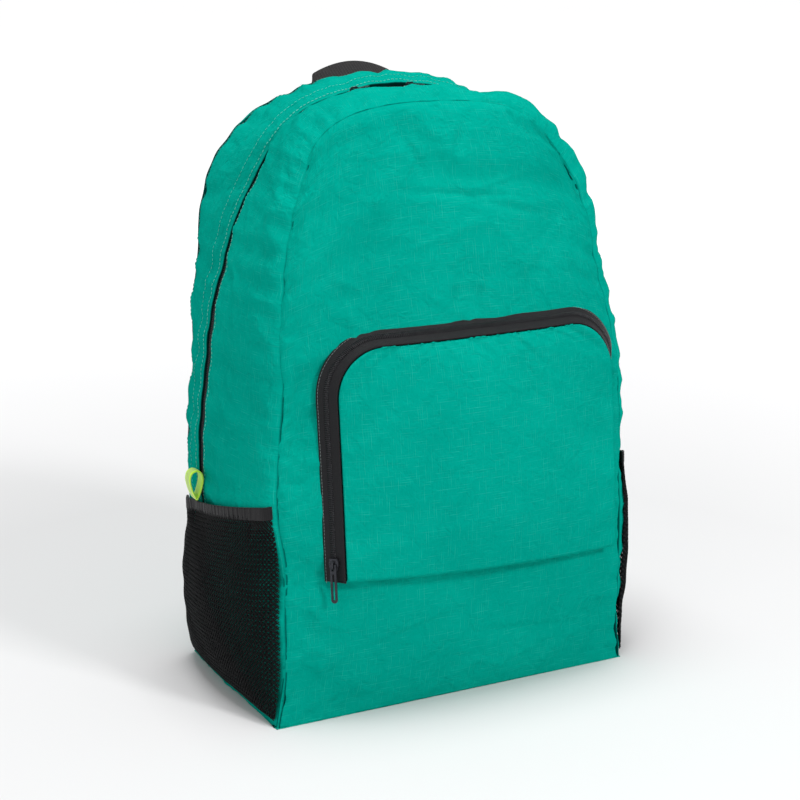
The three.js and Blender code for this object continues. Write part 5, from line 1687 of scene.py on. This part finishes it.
def net_point(side, depth, v, lift):
    top = hem_top(depth) - HEM_HEIGHT * 0.6
    z = lerp(MESH_FOOT, top, v)
    sewn = np.clip((depth - NET_EDGE) / (1 - 2 * NET_EDGE), 0, 1)
    sideways = np.sin(np.pi * sewn) ** 0.5
    upwards = np.sin(np.pi * np.clip(v, 0, 1) ** 0.62) * MESH_BULGE
    stand = 2 * REST_GAP + sideways * upwards + hem_slack(sewn) * smooth(v, 0.1, 1)
    return side_skin(side_share(z, side), depth, stand + lift)


def net_runs(side, lift, shift, cell=3.3):
    """Two families of slanting threads that weave over and under."""
    width, height = 168.0, 146.0
    columns, rows = int(width / (cell / 2)), int(height / (cell * 0.56))
    depths, heights, lifts = [], [], []
    for slant in (1, -1):
        for start in range(-rows, columns + rows, 2):
            j = np.arange(rows + 1)
            i = start + slant * j if slant > 0 else start + rows - j
            keep = (i >= 0) & (i <= columns)
            if keep.sum() < 3:
                continue
            i, j = i[keep], j[keep]
            depths.append(NET_EDGE + (1 - 2 * NET_EDGE) * np.clip((i + shift) / columns, 0, 1))
            heights.append(np.clip((j + shift) / rows, 0, 1))
            lifts.append(lift + 0.22 * slant * np.where(j % 2, 1, -1))
    ends = np.cumsum([len(run) for run in depths])[:-1]
    points = net_point(side, np.concatenate(depths), np.concatenate(heights), np.concatenate(lifts))
    return np.split(points, ends)


# %% Nets and hems
for side, name in ((-1, "left"), (1, "right")):
    runs = net_runs(side, 0.9, 0.0) + net_runs(side, -0.1, 0.5)
    net = threads(f"mesh_pocket_{name}_net", runs, 0.42, 4, NET_THREAD)
    dress(net, NET_THREAD, [f"mesh_pocket_{name}"])
    depth = np.linspace(NET_EDGE, 1 - NET_EDGE, 150)
    z = hem_top(depth) - HEM_HEIGHT / 2
    share = side_share(z, side)
    gather = 0.25 * np.sin(depth * 310) + 0.2 * np.sin(depth * 173 + 1.0)
    middle = side_skin(share, depth, REST_GAP + hem_slack(depth) + HEM_WALL / 2 + gather)
    high = side_skin(side_share(z + 4, side), depth, REST_GAP + hem_slack(depth) + HEM_WALL / 2)
    low = side_skin(side_share(z - 4, side), depth, REST_GAP + hem_slack(depth) + HEM_WALL / 2)
    rise = unit(high - low) * (HEM_HEIGHT + 0.4)
    along = unit(np.gradient(middle, axis=0))
    out = unit(np.cross(along, rise)) * (1 if side > 0 else -1)
    out = out * np.sign(out[:, :1] * side)
    hem = strip_mesh(f"mesh_hem_{name}_band", middle, rise, out, HEM_WALL * 0.9)
    dress(hem, HEM_BAND, [f"mesh_hem_{name}"])
    print(net.name, len(net.data.polygons), "faces; hem", len(hem.data.polygons))

# %% [markdown]
# ## Loop tab, haul loop and shoulder straps
# The bright loop at the zip's lower end is a folded tape. The haul loop is one length of
# webbing whose flat feet lie on the back and whose top lies flat across the hand. The
# shoulder straps are thin padded cloth with a ladder buckle and webbing below.

# %% Loop tab
TAB_HEIGHT, TAB_SPREAD, TAB_WIDTH, TAB_WALL = 23.0, 11.0, 10.0, 1.1
tab_low, tab_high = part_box("loop_tab")
tab_middle = (np.array(tab_low) + np.array(tab_high)) / 2 / MM
tab_foot = tab_low[2] / MM
half, high = TAB_SPREAD / 2 - TAB_WALL / 2, TAB_HEIGHT - TAB_WALL / 2
tab_outline = np.array(
    [
        (0.0, TAB_WALL * 0.7), (half * 0.42, high * 0.2), (half * 0.8, high * 0.45), (half, high * 0.72),
        (half * 0.72, high * 0.93), (0.0, high), (-half * 0.72, high * 0.93), (-half, high * 0.72),
        (-half * 0.8, high * 0.45), (-half * 0.42, high * 0.2), (0.0, TAB_WALL * 0.7),
    ]
)
tab_points = np.stack(
    [
        tab_middle[0] + tab_outline[:, 0],
        np.full(len(tab_outline), tab_middle[1]),
        tab_foot + tab_outline[:, 1],
    ],
    axis=1,
)
_, tab_rows = even_rows(tab_points, 70)
tab_along = unit(np.gradient(tab_rows, axis=0))
tab_across = np.broadcast_to(BACK * TAB_WIDTH, tab_rows.shape)
tab_out = unit(np.cross(tab_across, tab_along))
centre = np.array([tab_middle[0], tab_middle[1], tab_foot + TAB_HEIGHT * 0.6])
tab_out = tab_out * np.sign(np.sum(tab_out * (tab_rows - centre), axis=1, keepdims=True))
loop_tab = strip_mesh("loop_tab_tape", tab_rows, tab_across, tab_out, TAB_WALL, sided=True)
dress(loop_tab, LOOP_TAPE, ["loop_tab"])

# %% Haul loop
HAUL_SPAN, HAUL_SHIFT, HAUL_RISE, HAUL_DROP, HAUL_WIDTH, HAUL_WALL = 76.0, -2.0, 1.2, 26.0, 24.0, 1.8
HAUL_TILT = 0.6
HAUL_ROWS = (
    # side, up, turn
    (1.0, 0.0, 0.0),
    (1.03, 0.32, 0.12),
    (1.0, 0.56, 0.6),
    (0.78, 0.74, 1.0),
    (0.4, 0.93, 1.0),
    (0.0, 1.0, 1.0),
)


def haul_row(side, up, turn, mirror):
    z = BODY_HEIGHT + lerp(-HAUL_DROP, HAUL_RISE, up)
    across = unit(np.array([mirror * (1 - turn), -turn, -HAUL_TILT * turn]))
    reach = (HAUL_WIDTH * abs(across[1]) + HAUL_WALL * abs(across[0])) / 2
    x = HAUL_SHIFT + mirror * side * HAUL_SPAN / 2
    half = HAUL_WIDTH * abs(across[0]) / 2
    if z < ZIP_HEIGHT - HAUL_WIDTH / 4:
        behind = y_on(back_face, np.array([x - half, x, x + half]), np.full(3, z)).max()
    else:
        behind = back_y(BODY_HEIGHT * 0.96)
    return np.array([x, behind + REST_GAP + reach, z]), across * HAUL_WIDTH


haul_rows = [haul_row(*row, -1) for row in HAUL_ROWS] + [haul_row(*row, 1) for row in HAUL_ROWS[-2::-1]]
haul_share, haul_middle = even_rows([row[0] for row in haul_rows], 120)
haul_across = smooth_curve([row[1] for row in haul_rows])(haul_share)
haul_across = unit(haul_across) * HAUL_WIDTH
haul_out = unit(np.cross(haul_across, np.gradient(haul_middle, axis=0)))
haul = strip_mesh("haul_loop_webbing", haul_middle, haul_across, haul_out, HAUL_WALL, around=18)
dress(haul, BLACK_WEBBING, ["haul_loop"])
print("haul loop webbing, mm:", round(float(np.linalg.norm(np.diff(haul_middle, axis=0), axis=1).sum())))

# %% Shoulder straps
STRAP_WIDTH, STRAP_WALL, STRAP_DROP, STRAP_END, STRAP_BOW = 54.0, 4.0, 30.0, 132.0, 22.0
WEBBING_WIDTH, WEBBING_WALL, WEBBING_FOOT, WEBBING_FOOT_SHARE = 20.0, 1.4, 16.0, 0.8
BUCKLE_LENGTH = 24.0
STRAP_ROWS = (
    # down, side, off, width
    (0.0, 0.3, 0.0, 0.72),
    (0.07, 0.31, 0.42, 0.86),
    (0.3, 0.36, 0.95, 1.0),
    (0.6, 0.46, 1.0, 1.0),
    (0.85, 0.56, 0.62, 0.86),
    (1.0, 0.62, 0.4, 0.5),
)


def strap_y(x, z, half, wall):
    return y_on(back_face, np.array([x - half, x, x + half]), np.full(3, z)).max() + REST_GAP + wall / 2


for side, name in ((-1, "left"), (1, "right")):
    rows = []
    for down, sideways, off, width in STRAP_ROWS:
        x, z = side * sideways * HALF_WIDTH, lerp(BODY_HEIGHT - STRAP_DROP, STRAP_END, down)
        half = width * STRAP_WIDTH / 2
        rows.append((x, strap_y(x, z, half, STRAP_WALL) + STRAP_BOW * off, z, 2 * half))
    rows = np.array(rows)
    share, middle = even_rows(rows[:, :3], 150)
    widths = np.interp(share, np.linspace(0, 1, len(rows)), rows[:, 3])
    across = np.stack([widths, 0 * widths, 0 * widths], axis=1)
    out = unit(np.cross(across, np.gradient(middle, axis=0)))
    out = out * np.sign(out[:, 1:2])
    quilt = STRAP_WALL * (1 + 0.05 * np.sin(share * 95))
    strap = strip_mesh(f"shoulder_strap_{name}_pad", middle, across, out, quilt, around=28, power=0.45)
    dress(strap, TEAL_CLOTH, [f"shoulder_strap_{name}"])
    edge_runs = []
    for edge in (-1, 1):
        edge_runs.append(middle + across * edge * 0.41 + out * (STRAP_WALL * 0.47))
    stitches(f"strap_stitches_{name}", edge_runs, BLACK_THREAD, slot="black_webbing")
    buckle = rounded_copy(f"strap_buckle_{name}", f"strap_buckle_{name}_moulded", 0.7, 3)
    dress(buckle, BUCKLE_PLASTIC, [f"strap_buckle_{name}"])
    top = rows[-1, :3] - UP * (BUCKLE_LENGTH + 2 * REST_GAP)
    foot_x = side * WEBBING_FOOT_SHARE * HALF_WIDTH
    foot = np.array([foot_x, strap_y(foot_x, WEBBING_FOOT, WEBBING_WIDTH / 2, WEBBING_WALL), WEBBING_FOOT])
    down = np.linspace(0, 1, 60)
    line = lerp(top, foot, down[:, None])
    line[:, 1] = lerp(top[1], foot[1], smooth(down, 0, 1))
    width = np.broadcast_to(np.array([WEBBING_WIDTH, 0, 0]), line.shape)
    lower_out = unit(np.cross(width, np.gradient(line, axis=0)))
    lower_out = lower_out * np.sign(lower_out[:, 1:2])
    lower = strip_mesh(f"strap_webbing_{name}_woven", line, width, lower_out, WEBBING_WALL)
    dress(lower, BLACK_WEBBING, [f"strap_webbing_{name}"])
print("straps made")

# %% [markdown]
# ## Stitch lines
# Topstitching follows both lips of the main zip, the back seam, a line behind the rear lip
# and the outer edge of the pocket's band. The light teal thread is also a painted highlight
# along the lips and the rear line, the grey thread a painted highlight along the band's edge,
# and the dark back-seam thread a painted seam shade. Every row on cloth asks the cloth's own
# function for its place, so it lies on the puckered surface.

# %% Stitches
seam_shares = np.linspace(0.004, 0.996, 900)
lip_shares = np.linspace(ZIP_START + 0.01, 1 - ZIP_START - 0.01, 900)


def beside_first(cloth, shares, first, second, offset, lift=0.25):
    width = side_width(shares, first, second)
    return cloth(shares, offset / width, lift)


def beside_second(cloth, shares, first, second, offset, lift=0.25):
    width = side_width(shares, first, second)
    return cloth(shares, 1 - offset / width, lift)


front_pair = (FRONT_SEAM_EDGE[0], FRONT_LIP[0])
rear_pair = (REAR_LIP[0], BACK_SEAM_EDGE[0])
LIP_STITCH, BACK_STITCH, SECOND_ROW = 2.4, 3.0, 9.0  # millimetres from the cloth's edge
lip_rows = [
    beside_second(side_front_cloth, lip_shares, *front_pair, LIP_STITCH),
    beside_first(side_rear_cloth, lip_shares, *rear_pair, LIP_STITCH),
]
# Lip stitches in light thread, which also paints the lips' highlight.
stitches("zip_lip_stitches_and_highlight", lip_rows, TEAL_THREAD_AND_HIGHLIGHT)
back_row = beside_second(side_rear_cloth, seam_shares, *rear_pair, BACK_STITCH)
stitches("back_seam_stitches", [back_row], SHADE_THREAD)
second_row = beside_first(side_rear_cloth, lip_shares, *rear_pair, SECOND_ROW)
# The rear line in light thread, partly a painted highlight.
stitches("rear_side_stitches", [second_row], TEAL_THREAD_AND_HIGHLIGHT, radius=0.3)
band_line = lerp(band_inner, band_outer, 0.96) - 0.9 * BACK
band_thread = {"pitch": 2.4, "length": 2.2, "radius": 0.4, "slot": "black_webbing"}
# Grey dashes on the band's outer edge: stitches and a painted edge highlight.
stitches("pocket_band_stitches_and_highlight", [band_line], GREY_THREAD_AND_EDGE_HIGHLIGHT, **band_thread)
